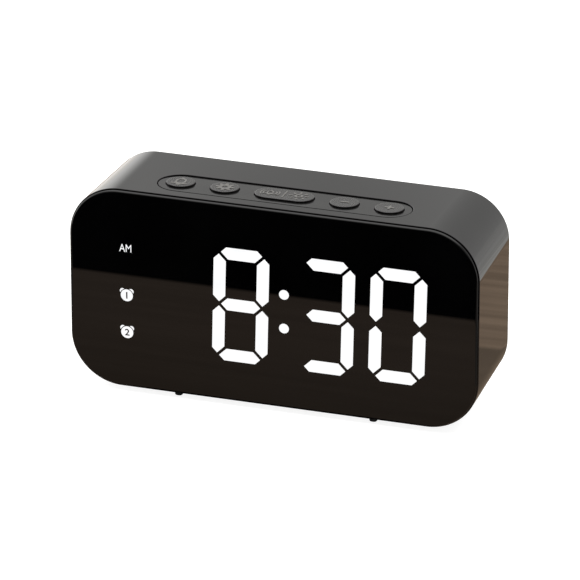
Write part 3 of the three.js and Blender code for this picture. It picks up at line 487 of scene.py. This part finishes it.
buttonShape = dict(
    width=10.8 * mm, collar=1.2 * mm, edge=0.18 * mm, edgeSteps=5, wall=3.4 * mm, dish=0.06 * mm, rings=6,
    proud=0.55 * mm, sideTilt=0.6, reach=4.2 * mm, symbolTop=0.63 * mm, symbolDepth=0.4 * mm,
)
buttonNames = ("alarm", "settings", "snooze", "minus", "plus")


def buttonPlace(name):
    low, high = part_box(name + "_button")
    return (low.x + high.x) / 2, high.x - low.x - 2 * buttonShape["collar"]


def makeDeckPanel():
    # flush with the case along its front edge, and a step down along its rear edge
    length = deck["recessLength"] - 2 * deck["panelGap"]
    width = deck["recessWidth"] - 2 * deck["panelGap"]
    panel = roundedBlock(
        "deckPanel", length, width, width / 2, deck["steps"], (0, 0, 0), "up", deck["panelThick"]
    )
    panel.rotation_euler.x = -math.atan((deck["panelRear"] - deck["panelFront"]) / width)
    panel.location.z = -(deck["panelRear"] + deck["panelFront"]) / 2
    settle(panel)
    for name in buttonNames:
        x, reach = buttonPlace(name)
        across = buttonShape["width"] + 2 * deck["gap"]
        hole = roundedBlock(
            "holeTool", reach + 2 * deck["gap"], across, across / 2, deck["steps"], (x, 0, overrun), "up",
            deck["holeDeep"],
        )
        cutAway(panel, hole)
    softenEdges(panel, deck["edgeRound"], 2)
    onDeck(panel)
    polish(panel)
    return finishPiece(panel, "root", "deck_satin", "button_panel")


def makeButton(name):
    x, length = buttonPlace(name)
    width = buttonShape["width"]
    button = roundedBlock(
        name + "Button", length, width, width / 2, deck["steps"], (x, 0, buttonShape["proud"]), "up",
        buttonShape["wall"],
    )
    editPart(button, "EDGE", lambda place: place.z > 0)
    bpy.ops.mesh.bevel(
        offset=buttonShape["edge"], segments=buttonShape["edgeSteps"], profile=0.5, affect="EDGES"
    )
    doneEditing()
    editPart(button, "FACE", lambda place, normal: normal.z > 0.99 and place.z > 0)
    rings, dish = buttonShape["rings"], buttonShape["dish"]
    for ring in range(rings):
        bpy.ops.mesh.inset(thickness=buttonShape["reach"] / rings, use_even_offset=True)
        fall = dish * (math.cos(math.pi * ring / rings) - math.cos(math.pi * (ring + 1) / rings)) / 2
        bpy.ops.transform.translate(value=(0, 0, -fall))
    doneEditing()
    onDeck(button)
    polish(button, 50)
    finishPiece(button, name + "_key", "button_satin", name + "_button")
    # only the top is textured, and the side stays as glossy as the case
    button.data.materials.append(finishes["case_gloss"])
    editPart(button, "FACE", lambda place, normal: normal.z < buttonShape["sideTilt"])
    button.active_material_index = 1
    bpy.ops.object.material_slot_assign()
    doneEditing()


symbols = dict(
    bell=7 * mm, gear=7 * mm, snooze=6.4 * mm, sun=7.8 * mm, halfShift=5.6 * mm, divider=7.4 * mm,
    dividerLine=0.52 * mm, plusLength=3.8 * mm, line=0.95 * mm, edge=0.04 * mm, barEnd=0.48, barSteps=5,
    discSteps=40,
)
# shares of a symbol's size: a disc has its radius, a bar its length and width, and then how far up it sits
bellParts = dict(
    dome=(0.30, 0.14), skirt=(0.60, 0.42, -0.06), lip=(0.92, 0.16, -0.30), clapper=(0.12, -0.46),
    knob=(0.08, 0.46), innerDome=(0.19, 0.12), innerSkirt=(0.40, 0.32, -0.04),
)
gearParts = dict(teeth=8, wheel=0.34, hole=0.16, tooth=(0.24, 0.17), toothAt=0.40)
sunParts = dict(rays=8, disc=0.21, hole=0.11, ray=(0.20, 0.09), rayAt=0.40)
snoozeParts = dict(bell=0.66, arcs=(0.40, 0.56), arcWidth=0.08, arcSpan=math.radians(70))


def selectUpright(piece):  # the edges that run straight up, in edit mode
    editPart(piece, "EDGE", lambda place: False)
    shape = bmesh.from_edit_mesh(piece.data)
    for edge in shape.edges:
        run = edge.verts[0].co - edge.verts[1].co
        edge.select_set(abs(run.z) > 0.9 * run.length)
    bmesh.update_edit_mesh(piece.data)


def symbolBar(length, width, place=(0, 0), turn=0.0):
    clearSelection()
    top, depth = buttonShape["symbolTop"], buttonShape["symbolDepth"]
    bpy.ops.mesh.primitive_cube_add(size=1, location=(*place, top - depth / 2), rotation=(0, 0, turn))
    bar = newest("symbolBar")
    bar.scale = (length, width, depth)
    settle(bar)
    selectUpright(bar)
    rounding = min(length, width) * symbols["barEnd"]
    bpy.ops.mesh.bevel(offset=rounding, segments=symbols["barSteps"], profile=0.5, affect="EDGES")
    doneEditing()
    return bar


def symbolDisc(radius, place=(0, 0), hole=0.0):
    clearSelection()
    top, depth, steps = buttonShape["symbolTop"], buttonShape["symbolDepth"], symbols["discSteps"]
    bpy.ops.mesh.primitive_cylinder_add(
        vertices=steps, radius=radius, depth=depth, location=(*place, top - depth / 2)
    )
    disc = settle(newest("symbolDisc"))
    if hole:
        bpy.ops.mesh.primitive_cylinder_add(
            vertices=steps, radius=hole, depth=2 * depth, location=(*place, top)
        )
        cutAway(disc, settle(newest("symbolHole")))
    return disc


def symbolArc(radius, width, place, middleAngle, span):
    # part of a ring, cut out of it by two planes through its centre
    arc = symbolDisc(radius + width / 2, place, radius - width / 2)
    for side in (-1, 1):
        edge = middleAngle + side * span / 2
        away = (-side * math.sin(edge), side * math.cos(edge), 0)
        editPart(arc, "FACE", lambda place, normal: True)
        bpy.ops.mesh.bisect(
            plane_co=(*place, 0), plane_no=away, use_fill=True, clear_outer=True, clear_inner=False
        )
        doneEditing()
    return arc


def bellDisc(part, size, place):
    radius, up = bellParts[part]
    return symbolDisc(radius * size, (place[0], place[1] + up * size))


def bellBar(part, size, place):
    length, width, up = bellParts[part]
    return symbolBar(length * size, width * size, (place[0], place[1] + up * size))


def bellSymbol(size, place):
    dome = bellDisc("dome", size, place)
    skirt = bellBar("skirt", size, place)
    lip = bellBar("lip", size, place)
    clapper = bellDisc("clapper", size, place)
    knob = bellDisc("knob", size, place)
    return unite(dome, skirt, lip, clapper, knob)


def hollowBell(size, place=(0, 0)):
    # an outline of a bell: its dome and skirt are sunk, and its lip closes it
    inner = unite(bellDisc("innerDome", size, place), bellBar("innerSkirt", size, place))
    inner.location.z = buttonShape["symbolDepth"] / 2
    return cutAway(bellSymbol(size, place), settle(inner))


def around(place, reach, turn):
    return place[0] + reach * math.cos(turn), place[1] + reach * math.sin(turn)


def gearSymbol(size):
    wheel = symbolDisc(gearParts["wheel"] * size, hole=gearParts["hole"] * size)
    length, width = gearParts["tooth"]
    for tooth in range(gearParts["teeth"]):
        turn = 2 * math.pi * tooth / gearParts["teeth"]
        spot = around((0, 0), gearParts["toothAt"] * size, turn)
        unite(wheel, symbolBar(length * size, width * size, spot, turn))
    return wheel


def sunSymbol(size, place):
    parts = [symbolDisc(sunParts["disc"] * size, place, sunParts["hole"] * size)]
    length, width = sunParts["ray"]
    for ray in range(sunParts["rays"]):
        turn = 2 * math.pi * ray / sunParts["rays"]
        spot = around(place, sunParts["rayAt"] * size, turn)
        parts.append(symbolBar(length * size, width * size, spot, turn))
    return joinAll("sunSymbol", parts)


def snoozeSymbol(size, place):
    parts = [hollowBell(snoozeParts["bell"] * size, place)]
    width, span = snoozeParts["arcWidth"] * size, snoozeParts["arcSpan"]
    for radius in snoozeParts["arcs"]:
        for side in (0, math.pi):
            parts.append(symbolArc(radius * size, width, place, side, span))
    return joinAll("snoozeSymbol", parts)


def makeSymbols():
    shift, line, length = symbols["halfShift"], symbols["line"], symbols["plusLength"]
    longMarks = [
        snoozeSymbol(symbols["snooze"], (-shift, 0)),
        symbolBar(symbols["dividerLine"], symbols["divider"]),
        sunSymbol(symbols["sun"], (shift, 0)),
    ]
    marks = {
        "alarm": hollowBell(symbols["bell"]),
        "settings": gearSymbol(symbols["gear"]),
        "snooze": joinAll("longMarks", longMarks),
        "minus": symbolBar(length, line),
        "plus": unite(symbolBar(length, line), symbolBar(line, length)),
    }
    for name, mark in marks.items():
        mark.name = name + "Symbol"
        mark.data.name = mark.name
        softenEdges(mark, symbols["edge"], 2)
        mark.location.x = buttonPlace(name)[0]
        settle(mark)
        onDeck(mark)
        polish(mark)
        finishPiece(mark, name + "_key", "button_satin")
        mark.data.materials.clear()
        mark.data.materials.append(finishes["button_symbol"])


makeDeckPanel()
for buttonName in buttonNames:
    makeButton(buttonName)
makeSymbols()
print("buttons made")

digit = dict(
    width=21.8 * mm, height=45.8 * mm, segment=4.8 * mm, gap=0.84 * mm, slant=0.022,
    proud=0.02 * mm, thickness=0.1 * mm, corner=0.12 * mm,
)
shownDigits = {"hour": "abcdefg", "minute_tens": "abcdg", "minute": "abcdef"}
slantMatrix = Matrix(((1, 0, digit["slant"], 0), (0, 1, 0, 0), (0, 0, 1, 0), (0, 0, 0, 1)))


def litPlate(name, low, high):
    clearSelection()
    bpy.ops.mesh.primitive_plane_add(
        size=1, location=((low[0] + high[0]) / 2, 0, (low[1] + high[1]) / 2), rotation=facings["front"]
    )
    plate = newest(name)
    plate.scale = (high[0] - low[0], high[1] - low[1], 1)
    return settle(plate)


def trimmedSegment(letter, low, high, cuts):
    # each cut keeps what is on the near side of the line a*x + b*z = reach
    plate = litPlate("segment_" + letter, low, high)
    for a, b, reach in cuts:
        editPart(plate, "FACE", lambda place, normal: True)
        normal = Vector((a, 0, b))
        bpy.ops.mesh.bisect(
            plane_co=normal * reach / normal.length_squared, plane_no=normal, clear_outer=True,
            clear_inner=False,
        )
        doneEditing()
    editPart(plate, "VERT", lambda place: True)
    bpy.ops.mesh.bevel(affect="VERTICES", offset=digit["corner"], segments=2, profile=0.5)
    doneEditing()
    return plate


def makeSegments():
    x, z = digit["width"] / 2, digit["height"] / 2
    thick, gap = digit["segment"], digit["gap"]
    mitre, outline = z - x, x + z - thick
    tip = x - thick / 2
    segments = {}
    for letter, up in (("a", 1), ("d", -1)):
        low, high = sorted((up * (z - thick), up * z))
        cuts = [(side, -up, -mitre - gap) for side in (-1, 1)] + [(side, up, outline) for side in (-1, 1)]
        segments[letter] = trimmedSegment(letter, (-x, low), (x, high), cuts)
    for letter, side, up in (("b", 1, 1), ("c", 1, -1), ("e", -1, -1), ("f", -1, 1)):
        left, right = sorted((side * (x - thick), side * x))
        low, high = sorted((0, up * z))
        cuts = [
            (-side, up, mitre - gap),
            (side, up, outline),
            (side, -up, tip - gap),
            (-side, -up, -tip - gap),
        ]
        segments[letter] = trimmedSegment(letter, (left, low), (right, high), cuts)
    ends = [(sideX, sideZ, tip - gap) for sideX in (-1, 1) for sideZ in (-1, 1)]
    segments["g"] = trimmedSegment("g", (-x, -thick / 2), (x, thick / 2), ends)
    return segments


def onLens(piece, x, z):
    # laid flat against the lens, standing a hair proud of it
    piece.location = (x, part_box("front_lens")[0].y - digit["proud"], z)
    settle(piece)
    modify(piece, "SOLIDIFY", thickness=digit["thickness"], offset=-1)
    only(piece)
    bpy.ops.object.shade_smooth_by_angle(angle=math.radians(30))
    return finishPiece(piece, "root", "lit_diffuser")


def makeDigits():
    segments = makeSegments()
    for name, letters in shownDigits.items():
        low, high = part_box(name + "_diffuser")
        shown = joinAll(
            "lit_" + name + "_digit", [copyOf(segments[letter], "segment_copy") for letter in letters]
        )
        shown.data.transform(slantMatrix)
        onLens(shown, (low.x + high.x) / 2, (low.z + high.z) / 2)
    for segment in segments.values():
        bpy.data.objects.remove(segment)


colon = dict(dot=3.86 * mm, dotSteps=16, spacing=13.6 * mm)


def makeColon():
    low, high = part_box("colon_diffuser")
    dots = []
    for side in (-1, 1):
        rise = side * colon["spacing"] / 2
        dot = roundedFace(
            "dot", colon["dot"], colon["dot"], colon["dot"] / 2, colon["dotSteps"], (0, 0, rise), "front"
        )
        dots.append(dot)
    onLens(joinAll("lit_colon", dots), (low.x + high.x) / 2, (low.z + high.z) / 2)


indicator = dict(
    x=-57.2 * mm, halfDay=16.9 * mm, alarms=(-2.2 * mm, -17.25 * mm), disc=2.4 * mm, discSteps=16,
    bell=1.06 * mm, bellSteps=12, bellShift=1.68 * mm, bellGap=0.32 * mm, letterHeight=3.05 * mm,
    letterWide=0.78, letterShift=-0.4 * mm, numeralHeight=2.7 * mm, numeralWide=1.05, numeralBold=0.02,
)


def writing(text, height, stretch=1.0, bold=0.0):
    clearSelection()
    bpy.ops.object.text_add(rotation=facings["front"])
    label = newest("writing")
    label.data.body = text
    label.data.align_x = "CENTER"
    label.data.align_y = "CENTER"
    label.data.size = 1
    label.data.offset = bold
    bpy.ops.object.convert(target="MESH")
    label = settle(bpy.context.active_object)
    tall = max(v.co.z for v in label.data.vertices) - min(v.co.z for v in label.data.vertices)
    label.scale = (height / tall * stretch, 1, height / tall)
    settle(label)
    across = [v.co.x for v in label.data.vertices]
    upright = [v.co.z for v in label.data.vertices]
    label.location = (-(min(across) + max(across)) / 2, 0, -(min(upright) + max(upright)) / 2)
    return settle(label)


def iconRound(name, radius, steps, place, depth):
    return roundedBlock(name, 2 * radius, 2 * radius, radius, steps, place, "front", depth)


def alarmIcon(numeral):
    radius, shift = indicator["disc"], indicator["bellShift"]
    steps, thick = indicator["discSteps"], digit["thickness"]
    parts = [iconRound("iconDisc", radius, steps, (0, 0, 0), thick)]
    for side in (-1, 1):
        place = (side * shift, 0, shift)
        cap = iconRound("iconBell", indicator["bell"], indicator["bellSteps"], place, thick)
        tool = iconRound("iconTool", radius + indicator["bellGap"], steps, (0, -overrun, 0), 2 * overrun)
        parts.append(cutAway(cap, tool))
    number = writing(numeral, indicator["numeralHeight"], indicator["numeralWide"], indicator["numeralBold"])
    number.location.y = -overrun
    settle(number)
    modify(number, "SOLIDIFY", thickness=2 * overrun, offset=-1)
    cutAway(parts[0], number)
    return joinAll("lit_alarm_" + numeral, parts)


def makeIndicators():
    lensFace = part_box("front_lens")[0].y
    label = writing("AM", indicator["letterHeight"], indicator["letterWide"])
    label.name = "lit_half_day"
    onLens(label, indicator["x"] + indicator["letterShift"], middle.z + indicator["halfDay"])
    for numeral, rise in zip("12", indicator["alarms"]):
        icon = alarmIcon(numeral)
        icon.location = (indicator["x"], lensFace - digit["proud"], middle.z + rise)
        settle(icon)
        finishPiece(icon, "root", "lit_diffuser")


makeDigits()
makeColon()
makeIndicators()
print("display lit")

rear = dict(
    corner=16 * mm, cornerSteps=16, thick=2 * mm, edge=0.3 * mm, edgeAngle=50,
    screwAcross=68 * mm, screwUp=28 * mm, screwHole=6 * mm, screwSteps=10,
    hatch=28 * mm, hatchCorner=2.7 * mm, hatchSteps=6, hatchUp=2 * mm, hatchLedge=1.7 * mm,
    hatchDepth=1.3 * mm, openingCorner=1.7 * mm, scoop=(11 * mm, 4.4 * mm, 0.9 * mm),
    sounder=(36 * mm, 2 * mm), slotHeight=1.5 * mm, slotSteps=5, slotPitch=3 * mm, slotRows=7,
    slotReach=12 * mm, socket=(-38 * mm, -14 * mm), socketHole=8.6 * mm, socketSteps=12,
)


def rearTool(width, height, radius, steps, x, z, deep, face):
    # a cutter that comes in from behind the cover, deep into it
    return roundedBlock(
        "rearTool", width, height, radius, steps, (x, face + overrun, middle.z + z), "back", deep + overrun
    )


def makeRearCover():
    low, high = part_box("rear_cover")
    face = high.y
    cover = roundedBlock(
        "backCover", high.x - low.x, high.z - low.z, rear["corner"], rear["cornerSteps"],
        (0, face, (low.z + high.z) / 2), "back", rear["thick"],
    )
    hole, through = rear["screwHole"], rear["thick"] + overrun
    for x in (-rear["screwAcross"], rear["screwAcross"]):
        for z in (-rear["screwUp"], rear["screwUp"]):
            cutAway(cover, rearTool(hole, hole, hole / 2, rear["screwSteps"], x, z, through, face))
    pocket = rear["hatch"] + 2 * deck["gap"]
    opening = rear["hatch"] - 2 * rear["hatchLedge"]
    corner, steps, up = rear["hatchCorner"] + deck["gap"], rear["hatchSteps"], rear["hatchUp"]
    cutAway(
        cover,
        rearTool(pocket, pocket, corner, steps, 0, up, rear["hatchDepth"], face),
        rearTool(opening, opening, rear["openingCorner"], steps, 0, up, through, face),
    )
    wide, tall, deep = rear["scoop"]
    cutAway(cover, rearTool(wide, tall, tall / 2, steps, 0, up + pocket / 2, deep, face))
    x, z = rear["sounder"]
    for row in range(rear["slotRows"]):
        rise = (row - (rear["slotRows"] - 1) / 2) * rear["slotPitch"]
        length = 2 * math.sqrt(rear["slotReach"] ** 2 - rise ** 2) - rear["slotHeight"]
        slot = rearTool(
            length, rear["slotHeight"], rear["slotHeight"] / 2, rear["slotSteps"], x, z + rise, through, face
        )
        cutAway(cover, slot)
    x, z = rear["socket"]
    hole = rear["socketHole"]
    cutAway(cover, rearTool(hole, hole, hole / 2, rear["socketSteps"], x, z, through, face))
    softenEdges(cover, rear["edge"], 3, rear["edgeAngle"])
    polish(cover)
    return finishPiece(cover, "root", "cover_textured", "rear_cover")


door = dict(
    thick=1 * mm, cornerSteps=8, edge=0.12 * mm, edgeAngle=50, plug=1.2 * mm, plugGap=0.3 * mm,
    plugCorner=1.4 * mm, plugJoin=0.2 * mm, rib=(9 * mm, 0.9 * mm), ribSteps=5, ribPitch=1.8 * mm,
    ribDrop=4.2 * mm, ribs=4, frame=2.4 * mm, frameLine=0.6 * mm, frameCorner=1.6 * mm, frameSteps=6,
    groove=0.2 * mm,
)


def makeBatteryDoor():
    low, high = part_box("battery_door")
    face, size = high.y, high.x - low.x
    centre = (low.z + high.z) / 2
    plate = roundedBlock(
        "batteryDoor", size, size, rear["hatchCorner"], door["cornerSteps"], (0, face, centre), "back",
        door["thick"],
    )
    # a shallow border groove, moulded a little in from the door's edge
    inner = size - 2 * door["frame"]
    border = roundedBlock(
        "borderTool", inner, inner, door["frameCorner"], door["frameSteps"], (0, face + overrun, centre),
        "back", overrun + door["groove"],
    )
    kept = inner - 2 * door["frameLine"]
    island = roundedBlock(
        "islandTool", kept, kept, door["frameCorner"] - door["frameLine"], door["frameSteps"],
        (0, face + 2 * overrun, centre), "back", 4 * overrun,
    )
    cutAway(plate, cutAway(border, island))
    wide, tall = door["rib"]
    for rib in range(door["ribs"]):
        z = high.z - door["ribDrop"] - rib * door["ribPitch"]
        groove = roundedBlock(
            "ribTool", wide, tall, tall / 2, door["ribSteps"], (0, face + overrun, z), "back",
            overrun + 2 * door["groove"],
        )
        cutAway(plate, groove)
    opening = size - 2 * rear["hatchLedge"] - 2 * door["plugGap"]
    plugBack = face - door["thick"] + door["plugJoin"]
    plug = roundedBlock(
        "doorPlug", opening, opening, door["plugCorner"], door["frameSteps"], (0, plugBack, centre), "back",
        door["plug"] + door["plugJoin"],
    )
    unite(plate, plug)
    softenEdges(plate, door["edge"], 2, door["edgeAngle"])
    polish(plate)
    return finishPiece(plate, "battery_hatch", "cover_textured", "battery_door")


screw = dict(
    head=5.4 * mm, headHeight=1.4 * mm, edge=0.5 * mm, edgeSteps=5, shank=2.4 * mm, length=10 * mm,
    join=0.1 * mm, cross=(3 * mm, 0.62 * mm), crossDepth=0.9 * mm, softEdge=0.05 * mm, vertices=40,
)


def rearCylinder(name, radius, back, front, x=0.0, z=0.0):
    # lies along Y between its rear end and its front end
    clearSelection()
    bpy.ops.mesh.primitive_cylinder_add(
        vertices=screw["vertices"], radius=radius, depth=back - front,
        location=(x, (back + front) / 2, z), rotation=facings["back"],
    )
    return settle(newest(name))


def makeScrews():
    head = rearCylinder("screwHead", screw["head"] / 2, 0, -screw["headHeight"])
    editPart(head, "EDGE", lambda place: place.y > -touch)
    bpy.ops.mesh.bevel(offset=screw["edge"], segments=screw["edgeSteps"], profile=0.5, affect="EDGES")
    doneEditing()
    shankBack = screw["join"] - screw["headHeight"]
    unite(head, rearCylinder("screwShank", screw["shank"] / 2, shankBack, -screw["length"]))
    long, wide = screw["cross"]
    for turn in (0, math.pi / 2):
        clearSelection()
        bpy.ops.mesh.primitive_cube_add(size=1, rotation=(0, turn, 0))
        bar = newest("crossTool")
        bar.scale = (long, 2 * screw["crossDepth"], wide)
        cutAway(head, settle(bar))
    softenEdges(head, screw["softEdge"], 2, 40)
    for side in ("left", "right"):
        for level in ("upper", "lower"):
            node = "cover_screw_" + level + "_" + side
            low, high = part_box(node)
            place = ((low.x + high.x) / 2, high.y, (low.z + high.z) / 2)
            fitted = copyOf(head, "coverScrew_" + level + "_" + side, place)
            polish(fitted)
            finishPiece(fitted, "root", "screw_steel", node)
    bpy.data.objects.remove(head)


socket = dict(
    coverGap=0.3 * mm, barrel=8 * mm, barrelSink=1 * mm, bore=5.6 * mm, boreDeep=6.6 * mm, edge=0.3 * mm,
    pin=2 * mm, pinEdge=0.6 * mm, pinSteps=5,
)


def makeSocket():
    low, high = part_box("power_socket")
    x, z = (low.x + high.x) / 2, (low.z + high.z) / 2
    clearSelection()
    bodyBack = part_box("rear_cover")[0].y - socket["coverGap"]
    bpy.ops.mesh.primitive_cube_add(size=1, location=(x, (low.y + bodyBack) / 2, z))
    body = newest("powerSocket")
    body.scale = (high.x - low.x, bodyBack - low.y, high.z - low.z)
    settle(body)
    barrelFront, boreFront = low.y + socket["barrelSink"], high.y - socket["boreDeep"]
    unite(body, rearCylinder("barrel", socket["barrel"] / 2, high.y, barrelFront, x, z))
    cutAway(body, rearCylinder("bore", socket["bore"] / 2, high.y + overrun, boreFront, x, z))
    softenEdges(body, socket["edge"], 3)
    polish(body)
    finishPiece(body, "root", "component_black", "power_socket")
    low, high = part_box("power_socket_pin")
    pin = rearCylinder("socketPin", socket["pin"] / 2, high.y, low.y, x, z)
    editPart(pin, "EDGE", lambda place: place.y > high.y - touch)
    bpy.ops.mesh.bevel(offset=socket["pinEdge"], segments=socket["pinSteps"], profile=0.5, affect="EDGES")
    doneEditing()
    polish(pin)
    finishPiece(pin, "root", "nickel_plate", "power_socket_pin")


makeRearCover()
makeBatteryDoor()
makeScrews()
makeSocket()
print("rear made")

# The floor is pale and plain, and glows a little, so the clock leaves no dark patch on it. The glossy black case
# would mirror it all over, so what it mirrors is a glowing card just under the clock, seen only in reflections:
# a painted reflection of a brown desk with painted shade near the clock and lit boards behind, an edge in front,
# paler ground round it, and a painted shadow under the clock.
ground = dict(
    size=12.0, tone=(0.30, 0.30, 0.297), dim=0.985, patch=3, glow=0.90, rough=0.7, card=-0.0004, blur=0.0015,
    foot=-0.0295, footSide=0.048, footEnd=0.072, brown=(0.02, -0.09), litBoards=0.0627, frontEdge=-0.1303,
    backEdge=0.30, leftEdge=-0.20, rightEdge=0.124, sideFront=0.03, sideBack=0.09, streaks=60,
    streakStretch=(0.15, 2.2, 1),
)
paintedReflectionTones = dict(
    near=(0.245, 0.185, 0.135), edge=(0.39, 0.295, 0.23), under=(0.02, 0.018, 0.016),
    litBoards=(0.41, 0.30, 0.215), right=(0.78, 0.77, 0.74), far=(0.84, 0.83, 0.81), left=(1.45, 1.40, 1.33),
    frontSide=(0.20, 0.186, 0.172), front=(0, 0, 0), grain=(0.07, 0.24),
)


def makeFloor():
    clearSelection()
    bpy.ops.mesh.primitive_plane_add(size=ground["size"], location=(0, 0, 0))
    floor = newest("floor")
    recipe = Recipe("paleFloor", **{
        "Roughness": ground["rough"], "Emission Color": (1, 1, 1, 1), "Emission Strength": ground["glow"],
    })
    dimmer = tuple(ground["dim"] * part for part in ground["tone"])
    recipe.color(recipe.blend(recipe.noise(ground["patch"]), (dimmer, ground["tone"])))
    floor.data.materials.append(recipe.material)
    floor.visible_glossy = False


# a glowing card seen only in reflections: the painted reflection that the glossy case and lens mirror
def makePaintedReflectionCard():
    clearSelection()
    bpy.ops.mesh.primitive_plane_add(size=ground["size"], location=(0, 0, ground["card"]))
    card = settle(newest("paintedDeskReflection"))
    recipe = Recipe("paintedReflectionGlow")
    tree = recipe.tree
    place = recipe.add("ShaderNodeSeparateXYZ", {0: recipe.place})
    x, y = place.outputs[0], place.outputs[1]
    grain = recipe.noise(ground["streaks"], 3, recipe.stretched(ground["streakStretch"]))
    blur = ground["blur"]

    def past(value, edge):
        return recipe.between(value, 0, 1, edge - blur, edge + blur)

    def before(value, edge):
        return recipe.between(value, 1, 0, edge - blur, edge + blur)

    def mix(factor, low, high):
        node = recipe.add("ShaderNodeMix", data_type="RGBA")
        recipe.feed(node.inputs[0], factor)
        for slot, tone in ((6, low), (7, high)):
            recipe.feed(node.inputs[slot], tone if isinstance(tone, bpy.types.NodeSocket) else (*tone, 1))
        return node.outputs[2]

    # painted shade: the mirrored desk is darker near the clock and lighter towards its front edge
    brown = mix(recipe.between(y, 0, 1, *ground["brown"]), paintedReflectionTones["near"], paintedReflectionTones["edge"])
    # painted shadow: a near-black patch on the mirrored desk under the clock and just in front of it
    under = recipe.between(recipe.math("ABSOLUTE", x), 1, 0, ground["footSide"], ground["footEnd"])
    brown = mix(recipe.math("MULTIPLY", under, past(y, ground["foot"])), brown, paintedReflectionTones["under"])
    # painted light: the boards behind the clock are lighter, lit from behind
    desk = mix(past(y, ground["litBoards"]), brown, paintedReflectionTones["litBoards"])
    desk = mix(past(x, ground["rightEdge"]), desk, paintedReflectionTones["right"])
    desk = mix(past(y, ground["backEdge"]), desk, paintedReflectionTones["far"])
    # painted highlight: the ground far to the left glows brighter than white, mirrored along the case's upper
    # left corner
    desk = mix(before(x, ground["leftEdge"]), desk, paintedReflectionTones["left"])
    beside = recipe.math("GREATER_THAN", recipe.math("ABSOLUTE", x), ground["rightEdge"])
    beside = recipe.math("MULTIPLY", beside, recipe.between(y, 1, 0, ground["sideFront"], ground["sideBack"]))
    desk = mix(beside, desk, paintedReflectionTones["frontSide"])
    desk = mix(before(y, ground["frontEdge"]), desk, paintedReflectionTones["front"])
    quiet, strong = paintedReflectionTones["grain"]
    contrast = recipe.between(y, quiet, strong, ground["litBoards"] - blur, ground["litBoards"] + blur)
    streaks = recipe.math("MULTIPLY_ADD", recipe.between(grain, -1, 1), contrast)
    recipe.feed(streaks.node.inputs[2], 1.0)
    glow = recipe.add("ShaderNodeEmission", {"Color": desk, "Strength": streaks})
    tree.links.new(glow.outputs[0], tree.nodes["Material Output"].inputs["Surface"])
    card.data.materials.append(recipe.material)
    card.visible_camera = False
    card.visible_diffuse = False
    card.visible_shadow = False
    card.visible_transmission = False


# The air behind is a pale wall and the ceiling a bright soft box. The room in front is dark low down and dim
# higher up.
room = dict(
    back=0.63, sides=0.77, left=1.5, dip=-0.287, dipReach=0.034, leftFrom=-0.335, leftTo=-0.47,
    front=0.0, frontHigh=0.3, frontFrom=0.12, frontTo=0.3, turnFrom=-0.2, turnTo=0.1,
    ceiling=2.0, ceilingFrom=0.62, ceilingTo=0.86, tint=(1, 0.992, 0.975, 1),
)


def makeRoom():
    world = bpy.data.worlds.new("studio")
    bpy.context.scene.world = world
    world.use_nodes = True
    tree = world.node_tree

    def ranged(source, fromLow, fromHigh, low, high):
        node = tree.nodes.new("ShaderNodeMapRange")
        node.interpolation_type = "SMOOTHSTEP"
        tree.links.new(source, node.inputs["Value"])
        limits = {"From Min": fromLow, "From Max": fromHigh, "To Min": low, "To Max": high}
        for name, value in limits.items():
            if isinstance(value, bpy.types.NodeSocket):
                tree.links.new(value, node.inputs[name])
            else:
                node.inputs[name].default_value = value
        return node.outputs[0]

    way = tree.nodes.new("ShaderNodeSeparateXYZ")
    tree.links.new(tree.nodes.new("ShaderNodeTexCoord").outputs["Generated"], way.inputs[0])
    offset = tree.nodes.new("ShaderNodeMath")
    offset.operation = "SUBTRACT"
    tree.links.new(way.outputs[0], offset.inputs[0])
    offset.inputs[1].default_value = room["dip"]
    apart = tree.nodes.new("ShaderNodeMath")
    apart.operation = "ABSOLUTE"
    tree.links.new(offset.outputs[0], apart.inputs[0])
    wall = ranged(apart.outputs[0], 0, room["dipReach"], room["back"], room["sides"])
    wall = ranged(way.outputs[0], room["leftFrom"], room["leftTo"], wall, room["left"])
    front = ranged(way.outputs[2], room["frontFrom"], room["frontTo"], room["front"], room["frontHigh"])
    wall = ranged(way.outputs[1], room["turnFrom"], room["turnTo"], front, wall)
    strength = ranged(way.outputs[2], room["ceilingFrom"], room["ceilingTo"], wall, room["ceiling"])
    tree.links.new(strength, tree.nodes["Background"].inputs["Strength"])
    tree.nodes["Background"].inputs["Color"].default_value = room["tint"]


lamps = {
    "overhead": dict(place=(0, 0, 2.2), aim=(0, 0, 0.04), size=3.2, power=75.0, glossy=False),
}


def makeLamps():
    for name, look in lamps.items():
        clearSelection()
        bpy.ops.object.light_add(type="AREA", location=look["place"])
        lamp = bpy.context.active_object
        lamp.name = name
        lamp.data.shape = "SQUARE"
        lamp.data.size = look["size"]
        lamp.data.energy = look["power"]
        aim = Vector(look["aim"]) - Vector(look["place"])
        lamp.rotation_euler = aim.to_track_quat("-Z", "Y").to_euler()
        lamp.visible_glossy = look["glossy"]
        lamp.visible_camera = False


view = dict(
    place=(0.63307, -1.90638, 0.89508), aim=(0.00526, -0.01691, 0.04811), lens=361.5, sensor=36, far=50,
)


def makeCamera():
    clearSelection()
    bpy.ops.object.camera_add(location=view["place"])
    camera = bpy.context.active_object
    camera.name = "bedside"
    camera.data.lens = view["lens"]
    camera.data.sensor_width = view["sensor"]
    camera.data.clip_end = view["far"]
    aim = Vector(view["aim"]) - Vector(view["place"])
    camera.rotation_euler = aim.to_track_quat("-Z", "Y").to_euler()
    bpy.context.scene.camera = camera


makeFloor()
makePaintedReflectionCard()
makeRoom()
makeLamps()
makeCamera()
bpy.context.scene.view_settings.view_transform = "Standard"
bpy.context.scene.view_settings.look = "None"
print("stage set")
